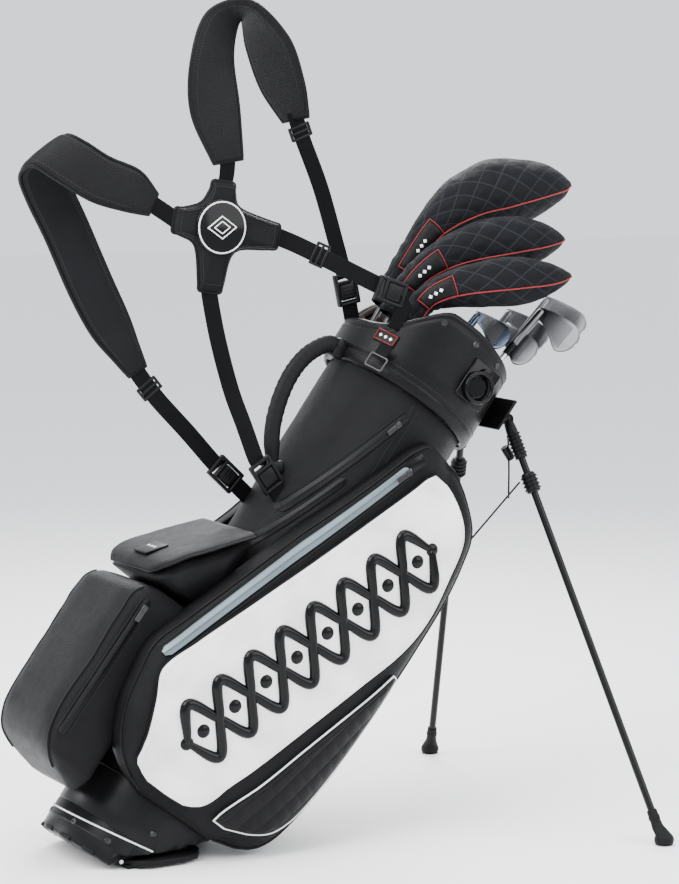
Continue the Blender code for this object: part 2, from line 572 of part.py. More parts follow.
def make_straps():
    """The double shoulder strap, held up as it is shown: hub, pads, webbing and buckles."""
    hub_centre = Vector((0.143, 0.0, 0.880))
    arms = (Vector((0.153, 0.0, 0.944)), Vector((0.0745, 0.0, 0.892)), Vector((0.1295, 0.0, 0.789)),
            Vector((0.239, 0.0, 0.864)))
    outline = []
    for i, arm in enumerate(arms):
        out = (arm - hub_centre)
        side = Vector((-out.z, 0.0, out.x)).normalized()
        following = (arms[(i + 1) % 4] - hub_centre)
        outline += [arm - side * 0.019, arm + side * 0.019,
                    hub_centre + (out.normalized() + following.normalized()) * 0.040]
    thick = Vector((0.0, 0.010, 0.0))
    rings = []
    for depth, size in ((-1.0, 0.93), (-0.5, 1.0), (0.5, 1.0), (1.0, 0.93)):
        rings.append([hub_centre + (point - hub_centre) * size + thick * depth for point in outline])
    loft("strap_hub", rings, "mesh_pad")

    wide = 0.038
    band("far_shoulder_pad", (
        ((0.160, 0.000, 0.972), (0.022, 0.0, 0.003)), ((0.140, 0.000, 1.045), (wide, 0.004, 0.004)),
        ((0.138, 0.004, 1.115), (0.040, 0.018, 0.0)), ((0.160, 0.016, 1.170), (0.034, 0.026, -0.010)),
        ((0.206, 0.034, 1.184), (0.012, 0.036, -0.012)), ((0.246, 0.048, 1.140), (-0.014, 0.035, -0.008)),
        ((0.272, 0.052, 1.080), (-0.018, 0.030, -0.006)), ((0.294, 0.052, 1.030), (-0.012, 0.016, -0.004))),
        0.016, "mesh_pad", None, 3, True)
    band("near_shoulder_pad", (
        ((0.043, 0.000, 0.914), (-0.007, 0.0, -0.014)), ((0.008, -0.004, 0.934), (-0.013, 0.0, -0.026)),
        ((-0.040, -0.007, 0.951), (-0.014, 0.0, -0.0285)), ((-0.080, -0.003, 0.975), (-0.021, 0.0, -0.025)),
        ((-0.106, 0.012, 0.990), (-0.0255, 0.0, -0.0205)), ((-0.112, 0.036, 0.972), (-0.0285, 0.0, -0.0175)),
        ((-0.092, 0.056, 0.935), (-0.029, 0.0, -0.0157)), ((-0.060, 0.066, 0.878), (-0.0295, 0.0, -0.0137)),
        ((-0.024, 0.068, 0.800), (-0.0295, 0.0, -0.0137)), ((0.004, 0.064, 0.743), (-0.027, 0.0, -0.013)),
        ((0.026, 0.056, 0.702), (-0.018, 0.0, -0.010)), ((0.040, 0.050, 0.676), (-0.0125, 0.0, -0.007))),
        0.016, "mesh_pad", None, 3, True)

    def web(name, points, across, half=0.0125):
        band(name, [(point, Vector(across).normalized() * half) for point in points], 0.002, "webbing", None, 3)

    def buckle(name, spot, along, long=0.052, half=0.018):
        frame = Vector(along).normalized()
        side = Vector((frame.z, 0.0, -frame.x))
        turn = Matrix((side, Vector((0, 1, 0)), frame)).transposed()
        made = box(name, (2 * half, 0.011, long), spot, "moulding", None, turn, 0.0015)
        for shift in (-0.55, 0.55):
            place = Vector(spot) + side * half * shift
            window = box("buckle_window", (half * 0.42, 0.03, long * 0.36), place, None, None, turn)
            boolean(made, window, "DIFFERENCE")

    # Hub to the near side of the cuff.
    web("near_top_web", ((0.2435, -0.002, 0.8620), (0.268, -0.015, 0.850), (0.312, -0.045, 0.824),
                         (0.352, -0.068, 0.801)), (0.38, 0.0, 0.92))
    buckle("near_top_buckle", (0.381, -0.075, 0.786), (0.93, 0, -0.34))
    # Hub to the low anchor on the near side.
    web("near_low_web", ((0.1300, 0.000, 0.7835), (0.140, -0.006, 0.720), (0.157, -0.012, 0.650),
                         (0.172, -0.022, 0.600), (0.1835, -0.036, 0.5535)), (1.0, 0.0, 0.2))
    buckle("near_low_buckle", (0.1968, -0.044, 0.5295), (0.52, 0, -0.80), 0.048)
    # Near pad to the low anchor on the far side.
    web("far_low_web", ((0.0440, 0.048, 0.6680), (0.068, 0.042, 0.635), (0.112, 0.036, 0.586),
                        (0.1480, 0.032, 0.5440)), (0.80, 0.0, 0.60))
    buckle("far_low_buckle", (0.1680, 0.030, 0.5240), (0.72, 0, -0.69), 0.048)
    # Far pad over the back to the far side of the cuff.
    web("far_top_web", ((0.2965, 0.052, 1.0260), (0.307, 0.052, 0.9980), (0.335, 0.052, 0.930),
                        (0.360, 0.052, 0.850), (0.3705, 0.050, 0.8100)), (0.97, 0.0, 0.25))
    buckle("far_top_buckle", (0.3765, 0.050, 0.7825), (0.20, 0, -0.98), 0.048)


class Club:
    """A club's own frame: its butt on the bag's floor, its shaft along local Z."""

    def __init__(self, name, butt, neck, bag):
        self.name = name
        self.bag = bag
        self.butt = Vector(butt)
        self.along = (Vector(neck) - self.butt).normalized()
        self.length = (Vector(neck) - self.butt).length

    def at(self, distance):
        return self.butt + self.along * distance

    def shaft(self, length, finish, grip=0.27):
        frame = turned(self.along)
        profile = ((0.0, 0.0135), (0.004, 0.0137), (grip, 0.0098), (grip + 0.001, 0.0066), (length, 0.0047))
        rings = []
        for at, radius in profile:
            rings.append([self.at(at) + frame @ Vector((radius * math.cos(a), radius * math.sin(a), 0.0))
                          for a in (2 * math.pi * k / 8 for k in range(8))])
        return loft(f"{self.name}_shaft", rings, finish, self.bag, tuple(self.butt))


def iron_head(club, toe, finish, scale=1.0):
    """An iron's blade with its hosel, upside down as it stands in the bag."""
    along = club.along
    toe = (Vector(toe) - along * Vector(toe).dot(along)).normalized()
    face = along.cross(toe).normalized()
    if face.y > 0:
        face = -face
    end = club.at(club.length)
    # Distance to the toe, distance back from the sole, thickness.
    sole = ((-0.004, 0.0, 0.007), (0.030, -0.003, 0.010), (0.060, -0.001, 0.010), (0.074, 0.007, 0.008))
    top = ((-0.006, 0.014, 0.005), (0.024, 0.024, 0.0035), (0.056, 0.045, 0.0030), (0.071, 0.044, 0.0030))
    rings = []
    for (t1, s1, d1), (t2, s2, d2) in zip(sole, top):
        low = end + toe * t1 * scale - along * s1 * scale
        high = end + toe * t2 * scale - along * s2 * scale
        rings.append([low + face * d1 * 0.35, low - face * d1, high - face * d2, high + face * d2 * 0.35])
    last = end + toe * 0.0785 * scale
    rings.append([last - along * 0.018 + face * 0.002, last - along * 0.018 - face * 0.004,
                  last - along * 0.032 - face * 0.003, last - along * 0.032 + face * 0.001])
    blade = loft(f"{club.name}_head", rings, finish, club.bag)
    hosel = cylinder("hosel", 0.0068, 0.068, end - along * 0.036, along, None, club.bag, 10, 0.0062)
    boolean(blade, hosel, "UNION")
    return blade


def wood(name, butt, path, bag):
    """A wood, head and shaft in one, and its cover. The path lists centre, half width and half depth."""
    centres = [Vector(row[0]) for row in path]
    club = Club(name, butt, centres[1], bag)
    drop = (centres[1].z - centres[0].z) / club.along.z
    centres[0] = centres[1] - club.along * drop
    shaft = club.shaft(club.length + 0.004, "graphite")

    def ring(i, grow, share=1.0):
        _, width, depth = path[i]
        near = centres[max(i - 1, 0)]
        far = centres[min(i + 1, len(path) - 1)]
        run = (far - near).normalized()
        side = Vector((run.z, 0.0, -run.x)).normalized()
        deep = run.cross(side)
        rows = []
        for k in range(14):
            a = 2 * math.pi * k / 14
            rows.append(centres[i] + side * (width + grow) * share * math.cos(a)
                        + deep * (depth + grow) * share * math.sin(a))
        return rows

    count = len(path)
    outer = [ring(i, 0.0) for i in reversed(range(count))]
    inner = [ring(i, -COVER_WALL) for i in range(count - 1)]
    loft(f"{name}_cover", outer + inner, "cover_fabric", bag)
    head = [ring(1, 0.0, 0.27), ring(2, 0.0, 0.30)]
    head += [ring(i, -COVER_WALL - 0.20 * path[i][1]) for i in range(3, count - 2)]
    tip = (centres[-2] - centres[-3]) * 0.5
    head.append([centres[-3] + (point - centres[-3]) * 0.5 + tip for point in head[-1]])
    boolean(shaft, loft("wood_head", head, None, bag), "UNION")


def make_clubs(bag):
    """Three covered woods in the back compartments and five irons in the front ones."""
    wood("driver", (-0.058, 0.078, SHAFT_FLOOR), (
        ((-0.112, 0.059, 0.868), 0.020, 0.020), ((-0.113, 0.060, 0.945), 0.022, 0.023),
        ((-0.109, 0.062, 1.005), 0.028, 0.029), ((-0.086, 0.068, 1.062), 0.046, 0.042),
        ((-0.045, 0.074, 1.115), 0.057, 0.050), ((0.000, 0.076, 1.163), 0.044, 0.045),
        ((0.032, 0.076, 1.192), 0.026, 0.030), ((0.050, 0.076, 1.208), 0.007, 0.010)), bag)
    wood("fairway", (-0.090, 0.038, SHAFT_FLOOR), (
        ((-0.119, 0.010, 0.850), 0.020, 0.0195), ((-0.116, 0.005, 0.910), 0.022, 0.022),
        ((-0.101, -0.004, 0.956), 0.030, 0.026), ((-0.070, -0.010, 1.000), 0.040, 0.030),
        ((-0.030, -0.014, 1.042), 0.043, 0.032), ((0.008, -0.014, 1.076), 0.032, 0.030),
        ((0.032, -0.014, 1.096), 0.017, 0.020), ((0.044, -0.014, 1.106), 0.005, 0.008)), bag)
    wood("hybrid", (-0.104, 0.008, SHAFT_FLOOR), (
        ((-0.116, -0.040, 0.846), 0.0185, 0.0185), ((-0.108, -0.048, 0.886), 0.021, 0.021),
        ((-0.088, -0.062, 0.922), 0.028, 0.024), ((-0.056, -0.074, 0.955), 0.035, 0.027),
        ((-0.016, -0.079, 0.990), 0.036, 0.029), ((0.018, -0.080, 1.018), 0.027, 0.027),
        ((0.040, -0.080, 1.037), 0.015, 0.018), ((0.051, -0.080, 1.048), 0.005, 0.008)), bag)

    toe = (0.55, -0.80, 0.10)
    irons = (
        ("utility_iron", (-0.100, -0.022), (-0.005, -0.015, 0.935), "dark_steel", 0.85),
        ("long_iron", (-0.040, -0.050), (0.0755, -0.022, 1.020), "satin_steel", 1.0),
        ("middle_iron", (-0.075, -0.050), (0.058, -0.058, 0.990), "satin_steel", 1.0),
        ("short_iron", (-0.062, -0.018), (0.0343, -0.0132, 0.945), "satin_steel", 1.0),
        ("wedge", (-0.035, 0.012), (0.066, 0.038, 0.985), "satin_steel", 1.0),
    )
    for name, (x, y), neck, finish, scale in irons:
        club = Club(name, (x, y, SHAFT_FLOOR), neck, bag)
        club.shaft(club.length - 0.0705, "bright_steel")
        iron_head(club, toe, finish, scale)


def main():
    clear_scene()
    for name, look in FINISHES.items():
        MATERIALS[name] = material(name, *look)
    bag = bpy.data.objects.new("bag_frame", None)
    bpy.context.scene.collection.objects.link(bag)
    bag.rotation_euler = (0.0, math.radians(LEAN), 0.0)
    make_base(bag)
    make_body(bag)
    make_pockets(bag)
    make_zips(bag)
    make_fittings(bag)
    make_legs(bag)
    make_pull_cord(bag)
    make_straps()
    make_clubs(bag)


main()
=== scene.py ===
"""A golf club set in its stand bag: the finished surfaces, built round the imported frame."""

import logging
import math
from dataclasses import dataclass
from enum import Enum
from typing import Callable, Iterable, Sequence

import bmesh
import bpy
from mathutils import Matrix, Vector, noise


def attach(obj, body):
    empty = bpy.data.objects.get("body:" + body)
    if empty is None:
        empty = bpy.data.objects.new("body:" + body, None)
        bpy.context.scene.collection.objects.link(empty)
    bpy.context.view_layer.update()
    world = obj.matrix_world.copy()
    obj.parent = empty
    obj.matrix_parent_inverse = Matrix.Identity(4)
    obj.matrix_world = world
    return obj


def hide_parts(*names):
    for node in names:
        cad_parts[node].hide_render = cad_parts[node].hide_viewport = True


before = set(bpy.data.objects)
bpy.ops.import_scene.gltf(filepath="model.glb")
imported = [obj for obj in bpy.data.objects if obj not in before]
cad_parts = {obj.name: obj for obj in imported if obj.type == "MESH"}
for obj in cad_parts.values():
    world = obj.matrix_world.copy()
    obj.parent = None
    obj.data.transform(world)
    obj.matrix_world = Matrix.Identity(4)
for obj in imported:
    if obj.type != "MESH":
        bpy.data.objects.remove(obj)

LOG = logging.getLogger("golf_set")
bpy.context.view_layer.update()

LEAN = math.radians(37.5)
BODY_A, BODY_B = 0.112, 0.108
CUFF_A, CUFF_B = 0.125, 0.120
Rows = list[list[Vector]]

# Turned pieces, each as its places along the axis and the radius there.
RIVET_PROFILE = ((0.0, 0.0050), (0.0012, 0.0050), (0.0022, 0.0042), (0.0022, 0.0026), (0.0014, 0.0020),
                 (0.0014, 0.0))
SCREW_PROFILE = ((0.0, 0.0046), (0.0016, 0.0046), (0.0026, 0.0036), (0.0026, 0.0022), (0.0014, 0.0018),
                 (0.0014, 0.0))
HOSEL_PROFILE = ((-0.0705, 0.0052), (-0.0705, 0.0060), (-0.0695, 0.0064), (-0.040, 0.0063), (-0.020, 0.0061),
                 (-0.008, 0.0060), (-0.004, 0.0055), (-0.0025, 0.0040), (-0.002, 0.0))
FERRULE_PROFILE = ((-0.0915, 0.0049), (-0.0900, 0.0053), (-0.0840, 0.0057), (-0.0835, 0.0053),
                   (-0.0828, 0.0058), (-0.0715, 0.0063), (-0.0706, 0.0061), (-0.0700, 0.0050))

# An iron's blade: the points across its flat sides and round its two edges.
BLADE_FLAT, BLADE_ROUND = 14, 5
FACE_SHARE = 0.35
EDGE_ROUND = 1.35
TOP_BULGE, SOLE_BULGE = 0.0013, 0.0008


def tilt(x: float, y: float, z: float) -> Vector:
    """A place in the bag's own leaning frame, as a place in the world."""
    return Vector((x * math.cos(LEAN) + z * math.sin(LEAN), y, -x * math.sin(LEAN) + z * math.cos(LEAN)))


def axis_x(z: float) -> float:
    """The bag tube's centre line: its X at a height up the bag."""
    return -0.017 - 0.026 * z


def smooth_path(spots: Iterable[Sequence[float]], steps: int = 8) -> list[Vector]:
    """Points along a smooth curve.

    Args:
        spots: The places that the curve goes through.
        steps: How many points each stretch gets.

    Returns:
        The points, the given places among them.
    """
    given = [Vector(spot) for spot in spots]
    ends = [2 * given[0] - given[1], *given, 2 * given[-1] - given[-2]]
    made = []
    for a, b, c, d in zip(ends, ends[1:], ends[2:], ends[3:]):
        for i in range(steps):
            t = i / steps
            made.append(0.5 * (2 * b + (c - a) * t + (2 * a - 5 * b + 4 * c - d) * t**2
                               + (3 * b - a - 3 * c + d) * t**3))
    made.append(given[-1])
    return made


def denser(loop: Sequence[Vector], parts: int = 4) -> list[Vector]:
    """A closed line's points, with each of its stretches cut into equal parts."""
    return [a.lerp(b, t / parts) for a, b in zip(loop, [*loop[1:], loop[0]]) for t in range(parts)]


def table_at(table: Sequence[Sequence[float]], z: float) -> list[float]:
    """A smooth reading of a table whose rows start with a height.

    Args:
        table: Rows of numbers, lowest height first.
        z: The height to read at.

    Returns:
        The other numbers of the row at that height.
    """
    if z <= table[0][0]:
        return list(table[0][1:])
    for i, (low, high) in enumerate(zip(table, table[1:])):
        if z <= high[0]:
            t = (z - low[0]) / (high[0] - low[0])
            before = table[max(i - 1, 0)]
            after = table[min(i + 2, len(table) - 1)]
            span = high[0] - low[0]
            out = []
            for k in range(1, len(low)):
                m0 = (high[k] - before[k]) / max(high[0] - before[0], 1e-6) * span
                m1 = (after[k] - low[k]) / max(after[0] - low[0], 1e-6) * span
                h = t * t * (3 - 2 * t)
                out.append(low[k] * (1 - h) + high[k] * h + m0 * t * (1 - t) ** 2 - m1 * t * t * (1 - t))
            return out
    return list(table[-1][1:])


def crease(point: Vector, size: float, depth: float, seed: float = 0.0) -> float:
    """A soft fold height at a place: size is the folds' spacing and depth their height."""
    spot = point / size + Vector((seed, seed * 1.7, -seed))
    return depth * (noise.noise(spot) + 0.45 * noise.noise(spot * 2.3) + 0.2 * noise.noise(spot * 5.1))


def grid(name: str, rows: Rows, wrap: bool = False, caps: bool = False,
         loop: bool = False) -> bpy.types.Object:
    """A smooth surface through rows of points, with UVs in metres.

    Args:
        name: The piece's name.
        rows: Rows of equally many points.
        wrap: Whether each row closes on itself.
        caps: Whether the first and last rows are filled.
        loop: Whether the last row joins the first.

    Returns:
        The new object.
    """
    builder = bmesh.new()
    verts = [[builder.verts.new(point) for point in row] for row in rows]
    uv = builder.loops.layers.uv.new("UVMap")
    count = len(rows[0])
    middle = rows[len(rows) // 2]
    across = [0.0]
    for a, b in zip(middle, middle[1:] + middle[:1]):
        across.append(across[-1] + (b - a).length)
    up = [0.0]
    for low, high in zip(rows, rows[1:] + rows[:1]):
        up.append(up[-1] + (high[count // 2] - low[count // 2]).length)
    last = len(rows) if loop else len(rows) - 1
    for r in range(last):
        low, high = verts[r], verts[(r + 1) % len(rows)]
        for i in range(count if wrap else count - 1):
            j = (i + 1) % count
            if len({low[i], low[j], high[j], high[i]}) < 4:
                continue
            face = builder.faces.new((low[i], low[j], high[j], high[i]))
            for loop_, (u, v) in zip(face.loops, ((i, r), (i + 1, r), (i + 1, r + 1), (i, r + 1))):
                loop_[uv].uv = (across[u], up[v])
    if caps:
        builder.faces.new(verts[0])
        builder.faces.new(verts[-1])
    bmesh.ops.recalc_face_normals(builder, faces=builder.faces)
    mesh = bpy.data.meshes.new(name)
    builder.to_mesh(mesh)
    builder.free()
    mesh.shade_smooth()
    made = bpy.data.objects.new(name, mesh)
    bpy.context.scene.collection.objects.link(made)
    return made


def cord(name: str, points: Sequence[Vector], radius: float, cyclic: bool = False) -> bpy.types.Object:
    """A round tube along points, as for piping, wire and rings."""
    curve = bpy.data.curves.new(name, "CURVE")
    curve.dimensions = "3D"
    curve.bevel_depth = radius
    curve.bevel_resolution = 3
    curve.use_fill_caps = True
    line = curve.splines.new("POLY")
    line.points.add(len(points) - 1)
    for spot, point in zip(line.points, points):
        spot.co = (*point, 1.0)
    line.use_cyclic_u = cyclic
    made = bpy.data.objects.new(name, curve)
    bpy.context.scene.collection.objects.link(made)
    return made


def frame_of(direction: Vector, hint: Vector = Vector((0.0, 1.0, 0.0))) -> tuple[Vector, Vector, Vector]:
    """Two directions square to one another and to a direction, and that direction."""
    along = direction.normalized()
    if abs(along.dot(hint)) > 0.98:
        hint = Vector((1.0, 0.0, 0.0))
    side = hint.cross(along).normalized()
    return side, along.cross(side), along


def lathe(name: str, origin: Vector, direction: Vector, profile: Sequence[tuple[float, float]],
          sides: int = 32) -> bpy.types.Object:
    """A turned piece about a line: the profile lists distance along it and radius."""
    side, deep, along = frame_of(direction)
    rows = []
    for at, radius in profile:
        centre = origin + along * at
        rows.append([centre + (side * math.cos(a) + deep * math.sin(a)) * max(radius, 0.00005)
                     for a in (2 * math.pi * k / sides for k in range(sides))])
    return grid(name, rows, wrap=True, caps=True)


def join(pieces: Sequence[bpy.types.Object], name: str) -> bpy.types.Object:
    """Several meshes made one object."""
    builder = bmesh.new()
    for piece in pieces:
        mesh = piece.data
        mesh.transform(piece.matrix_world)
        builder.from_mesh(mesh)
        bpy.data.objects.remove(piece)
    mesh = bpy.data.meshes.new(name)
    builder.to_mesh(mesh)
    builder.free()
    mesh.shade_smooth()
    mesh.set_sharp_from_angle(angle=math.radians(38))
    made = bpy.data.objects.new(name, mesh)
    bpy.context.scene.collection.objects.link(made)
    return made


def block(centre: Vector, axes: Sequence[Vector], size: Sequence[float], round_by: float,
          name: str = "block") -> bpy.types.Object:
    """A bar with rounded edges about its centre, along three directions."""
    builder = bmesh.new()
    bmesh.ops.create_cube(builder, size=1.0)
    for vert in builder.verts:
        x, y, z = vert.co
        vert.co = centre + axes[0] * x * size[0] + axes[1] * y * size[1] + axes[2] * z * size[2]
    bmesh.ops.recalc_face_normals(builder, faces=builder.faces)
    bmesh.ops.bevel(builder, geom=list(builder.edges), offset=round_by, segments=3, profile=0.5,
                    affect="EDGES")
    mesh = bpy.data.meshes.new(name)
    builder.to_mesh(mesh)
    builder.free()
    mesh.shade_smooth()
    mesh.set_sharp_from_angle(angle=math.radians(38))
    made = bpy.data.objects.new(name, mesh)
    bpy.context.scene.collection.objects.link(made)
    return made


def plate(name: str, outline: Sequence[Vector], thick: Vector, edge: float = 0.0012) -> bpy.types.Object:
    """A flat plate with a softened edge: an outline, and the vector through its thickness."""
    middle = sum(outline, Vector()) / len(outline)
    reach = max((point - middle).length for point in outline)
    rows = []
    for depth, inset in ((0.5, edge), (0.5 - 0.3 * edge / thick.length, 0.3 * edge), (0.35, 0.0),
                         (-0.35, 0.0),
                         (-0.5 + 0.3 * edge / thick.length, 0.3 * edge), (-0.5, edge)):
        rows.append([middle + (point - middle) * (1 - inset / reach) + thick * depth for point in outline])
    made = grid(name, rows, wrap=True, caps=True)
    made.data.set_sharp_from_angle(angle=math.radians(50))
    return made


def stitches(name: str, path: Sequence[Vector], out: Callable[[Vector], Vector], pitch: float = 0.0042,
             length: float = 0.0030, radius: float = 0.00035) -> bpy.types.Object:
    """A row of thread stitches along a path.

    Args:
        name: The piece's name.
        path: Points close together along the seam.
        out: The direction away from the cloth at a point.
        pitch: Distance from one stitch to the next.
        length: A stitch's length.
        radius: The thread's radius.

    Returns:
        The new object.
    """
    builder = bmesh.new()
    run = 0.0
    due = pitch
    for a, b in zip(path, path[1:]):
        step = (b - a).length
        while due <= run + step and step > 0:
            spot = a.lerp(b, (due - run) / step)
            along = (b - a).normalized()
            up = out(spot).normalized()
            side = along.cross(up).normalized()
            ends = [spot + along * length * s for s in (-0.5, -0.38, 0.38, 0.5)]
            rings = []
            for end, share in zip(ends, (0.35, 1.0, 1.0, 0.35)):
                rings.append([builder.verts.new(end + (side * math.cos(t) * 1.2
                                                       + up * math.sin(t)) * radius * share)
                              for t in (2 * math.pi * k / 6 for k in range(6))])
            for low, high in zip(rings, rings[1:]):
                for k in range(6):
                    builder.faces.new((low[k], low[(k + 1) % 6], high[(k + 1) % 6], high[k]))
            builder.faces.new(rings[0])
            builder.faces.new(rings[-1])
            due += pitch
        run += step
    bmesh.ops.recalc_face_normals(builder, faces=builder.faces)
    mesh = bpy.data.meshes.new(name)
    builder.to_mesh(mesh)
    builder.free()
    mesh.shade_smooth()
    made = bpy.data.objects.new(name, mesh)
    bpy.context.scene.collection.objects.link(made)
    return made


class Surface(Enum):
    """The fine pattern on a finish."""

    WEAVE = "fine plain weave"
    HIDE = "pebbled leatherette"
    MOULDED = "spark-eroded moulding"
    FLEECE = "short pile"
    RIBBED = "ribbed webbing"
    MESH = "open air mesh"
    QUILT = "knit with quilted diamonds"
    BRUSHED = "brushed metal"
    GLOSS = "polished"
    GROOVED = "milled face lines"
    COIL = "zip coil"


@dataclass(frozen=True)
class Finish:
    """One finish: its record slot, its colour and how its surface is worked."""

    name: str
    slot: str
    colour: tuple[float, float, float]
    surface: Surface
    roughness: float = 0.5
    metallic: float = 0.0
    size: float = 0.0015
    depth: float = 0.0003
    accent: tuple[float, float, float] = (0.0, 0.0, 0.0)
    coat: float = 0.0
    sheen: float = 0.0
    specular: float = 0.5

    def material(self) -> bpy.types.Material:
        """The finish's material, made once and then shared."""
        found = bpy.data.materials.get(f"{self.name}_finish")
        return found if found else self.make()

    def make(self) -> bpy.types.Material:
        """Builds the material's nodes.

        Returns:
            The new material.
        """
        made = bpy.data.materials.new(f"{self.name}_finish")
        made.use_nodes = True
        made.diffuse_color = (*self.colour, 1.0)
        tree = made.node_tree
        shader = tree.nodes["Principled BSDF"]
        shader.inputs["Metallic"].default_value = self.metallic
        shader.inputs["Coat Weight"].default_value = self.coat
        shader.inputs["Coat Roughness"].default_value = 0.06
        shader.inputs["Sheen Weight"].default_value = self.sheen
        shader.inputs["Sheen Roughness"].default_value = 0.45
        shader.inputs["Specular IOR Level"].default_value = self.specular
        place = tree.nodes.new("ShaderNodeTexCoord")
        height, mask = self.pattern(tree, place)

        cloud = self.noise_node(tree, place.outputs["Object"], 14.0, 3.0)
        tone = self.ramp(tree, cloud, 0.25, 0.75, 0.80, 1.16)
        colour = tree.nodes.new("ShaderNodeMix")
        colour.data_type = "RGBA"
        colour.blend_type = "MULTIPLY"
        colour.inputs[0].default_value = 1.0
        if mask is None:
            colour.inputs[6].default_value = (*self.colour, 1.0)
        else:
            blend = tree.nodes.new("ShaderNodeMix")
            blend.data_type = "RGBA"
            blend.inputs[6].default_value = (*self.colour, 1.0)
            blend.inputs[7].default_value = (*self.accent, 1.0)
            tree.links.new(mask, blend.inputs[0])
            tree.links.new(blend.outputs[2], colour.inputs[6])
        tree.links.new(tone, colour.inputs[7])
        tree.links.new(colour.outputs[2], shader.inputs["Base Color"])

        rough = tree.nodes.new("ShaderNodeMapRange")
        spread = 0.10 if self.surface is not Surface.GLOSS else 0.04
        rough.inputs["To Min"].default_value = max(0.02, self.roughness - spread)
        rough.inputs["To Max"].default_value = min(1.0, self.roughness + spread)
        tree.links.new(self.noise_node(tree, place.outputs["Object"], 60.0, 4.0), rough.inputs["Value"])
        tree.links.new(rough.outputs["Result"], shader.inputs["Roughness"])

        bump = tree.nodes.new("ShaderNodeBump")
        bump.inputs["Strength"].default_value = 0.6 if self.surface is not Surface.GLOSS else 0.15
        bump.inputs["Distance"].default_value = self.depth
        tree.links.new(height, bump.inputs["Height"])
        tree.links.new(bump.outputs["Normal"], shader.inputs["Normal"])
        return made

    def noise_node(self, tree: bpy.types.NodeTree, where: bpy.types.NodeSocket, scale: float,
                   detail: float) -> bpy.types.NodeSocket:
        """A noise value."""
        node = tree.nodes.new("ShaderNodeTexNoise")
        node.inputs["Scale"].default_value = scale
        node.inputs["Detail"].default_value = detail
        tree.links.new(where, node.inputs["Vector"])
        return node.outputs["Fac"]

    def ramp(self, tree: bpy.types.NodeTree, value: bpy.types.NodeSocket, low: float, high: float,
             dark: float, light: float) -> bpy.types.NodeSocket:
        """A value turned to a grey between dark and light."""
        node = tree.nodes.new("ShaderNodeMapRange")
        node.inputs["From Min"].default_value = low
        node.inputs["From Max"].default_value = high
        node.inputs["To Min"].default_value = dark
        node.inputs["To Max"].default_value = light
        tree.links.new(value, node.inputs["Value"])
        return node.outputs["Result"]

    def bands(self, tree: bpy.types.NodeTree, where: bpy.types.NodeSocket, period: float,
              turn: float = 0.0) -> bpy.types.NodeSocket:
        """Waves in one direction with a real spacing."""
        spin = tree.nodes.new("ShaderNodeMapping")
        spin.inputs["Rotation"].default_value = (0.0, 0.0, turn)
        tree.links.new(where, spin.inputs["Vector"])
        wave = tree.nodes.new("ShaderNodeTexWave")
        wave.inputs["Scale"].default_value = 2 * math.pi / (20 * period)
        tree.links.new(spin.outputs["Vector"], wave.inputs["Vector"])
        return wave.outputs["Fac"]

    def mix_of(self, tree: bpy.types.NodeTree, kind: str, a: bpy.types.NodeSocket,
               b: bpy.types.NodeSocket) -> bpy.types.NodeSocket:
        """Two values put together by a maths operation."""
        node = tree.nodes.new("ShaderNodeMath")
        node.operation = kind
        tree.links.new(a, node.inputs[0])
        tree.links.new(b, node.inputs[1])
        return node.outputs[0]

    def pattern(self, tree: bpy.types.NodeTree,
                place: bpy.types.Node) -> tuple[bpy.types.NodeSocket, bpy.types.NodeSocket | None]:
        """The height of the fine pattern, and the mask of its second colour where it has one."""
        flat, solid = place.outputs["UV"], place.outputs["Object"]
        kind = self.surface
        if kind is Surface.WEAVE:
            both = self.mix_of(tree, "ADD", self.bands(tree, flat, self.size),
                               self.bands(tree, flat, self.size, math.pi / 2))
            return self.mix_of(tree, "ADD", both, self.noise_node(tree, solid, 300.0, 2.0)), None
        if kind is Surface.RIBBED:
            ribs = self.mix_of(tree, "ADD", self.bands(tree, flat, self.size, math.pi / 2),
                               self.bands(tree, flat, self.size * 2.2, math.pi / 4))
            return ribs, None
        if kind is Surface.HIDE or kind is Surface.MESH:
            cells = tree.nodes.new("ShaderNodeTexVoronoi")
            cells.inputs["Scale"].default_value = 1 / self.size
            if kind is Surface.MESH:
                cells.inputs["Randomness"].default_value = 0.15
            tree.links.new(solid if kind is Surface.HIDE else flat, cells.inputs["Vector"])
            dome = self.ramp(tree, cells.outputs["Distance"], 0.1, 0.7, 1.0, 0.0)
            return dome, (self.ramp(tree, cells.outputs["Distance"], 0.15, 0.4, 1.0, 0.0)
                          if kind is Surface.MESH else None)
        if kind is Surface.QUILT:
            one = self.bands(tree, flat, 0.026, 0.62)
            two = self.bands(tree, flat, 0.026, -0.62)
            line_one = self.ramp(tree, one, 0.985, 0.997, 0.0, 1.0)
            line_two = self.ramp(tree, two, 0.985, 0.997, 0.0, 1.0)
            lines = self.mix_of(tree, "MAXIMUM", line_one, line_two)
            knit = self.bands(tree, flat, self.size)
            puff = self.mix_of(tree, "MULTIPLY", self.ramp(tree, one, 0.0, 1.0, 9.0, 0.0),
                               self.ramp(tree, two, 0.0, 1.0, 1.0, 0.0))
            return self.mix_of(tree, "ADD", puff, knit), lines
        if kind is Surface.GROOVED:
            line = self.ramp(tree, self.bands(tree, flat, self.size, math.pi / 2), 0.80, 0.92, 0.0, 1.0)
            return self.ramp(tree, line, 0.0, 1.0, 1.0, 0.0), line
        if kind is Surface.COIL:
            teeth = self.bands(tree, flat, self.size, math.pi / 2)
            return teeth, None
        if kind is Surface.BRUSHED:
            pull = tree.nodes.new("ShaderNodeMapping")
            pull.inputs["Scale"].default_value = (1.0, 30.0, 30.0)
            tree.links.new(solid, pull.inputs["Vector"])
            return self.noise_node(tree, pull.outputs["Vector"], 40.0, 5.0), None
        if kind is Surface.FLEECE:
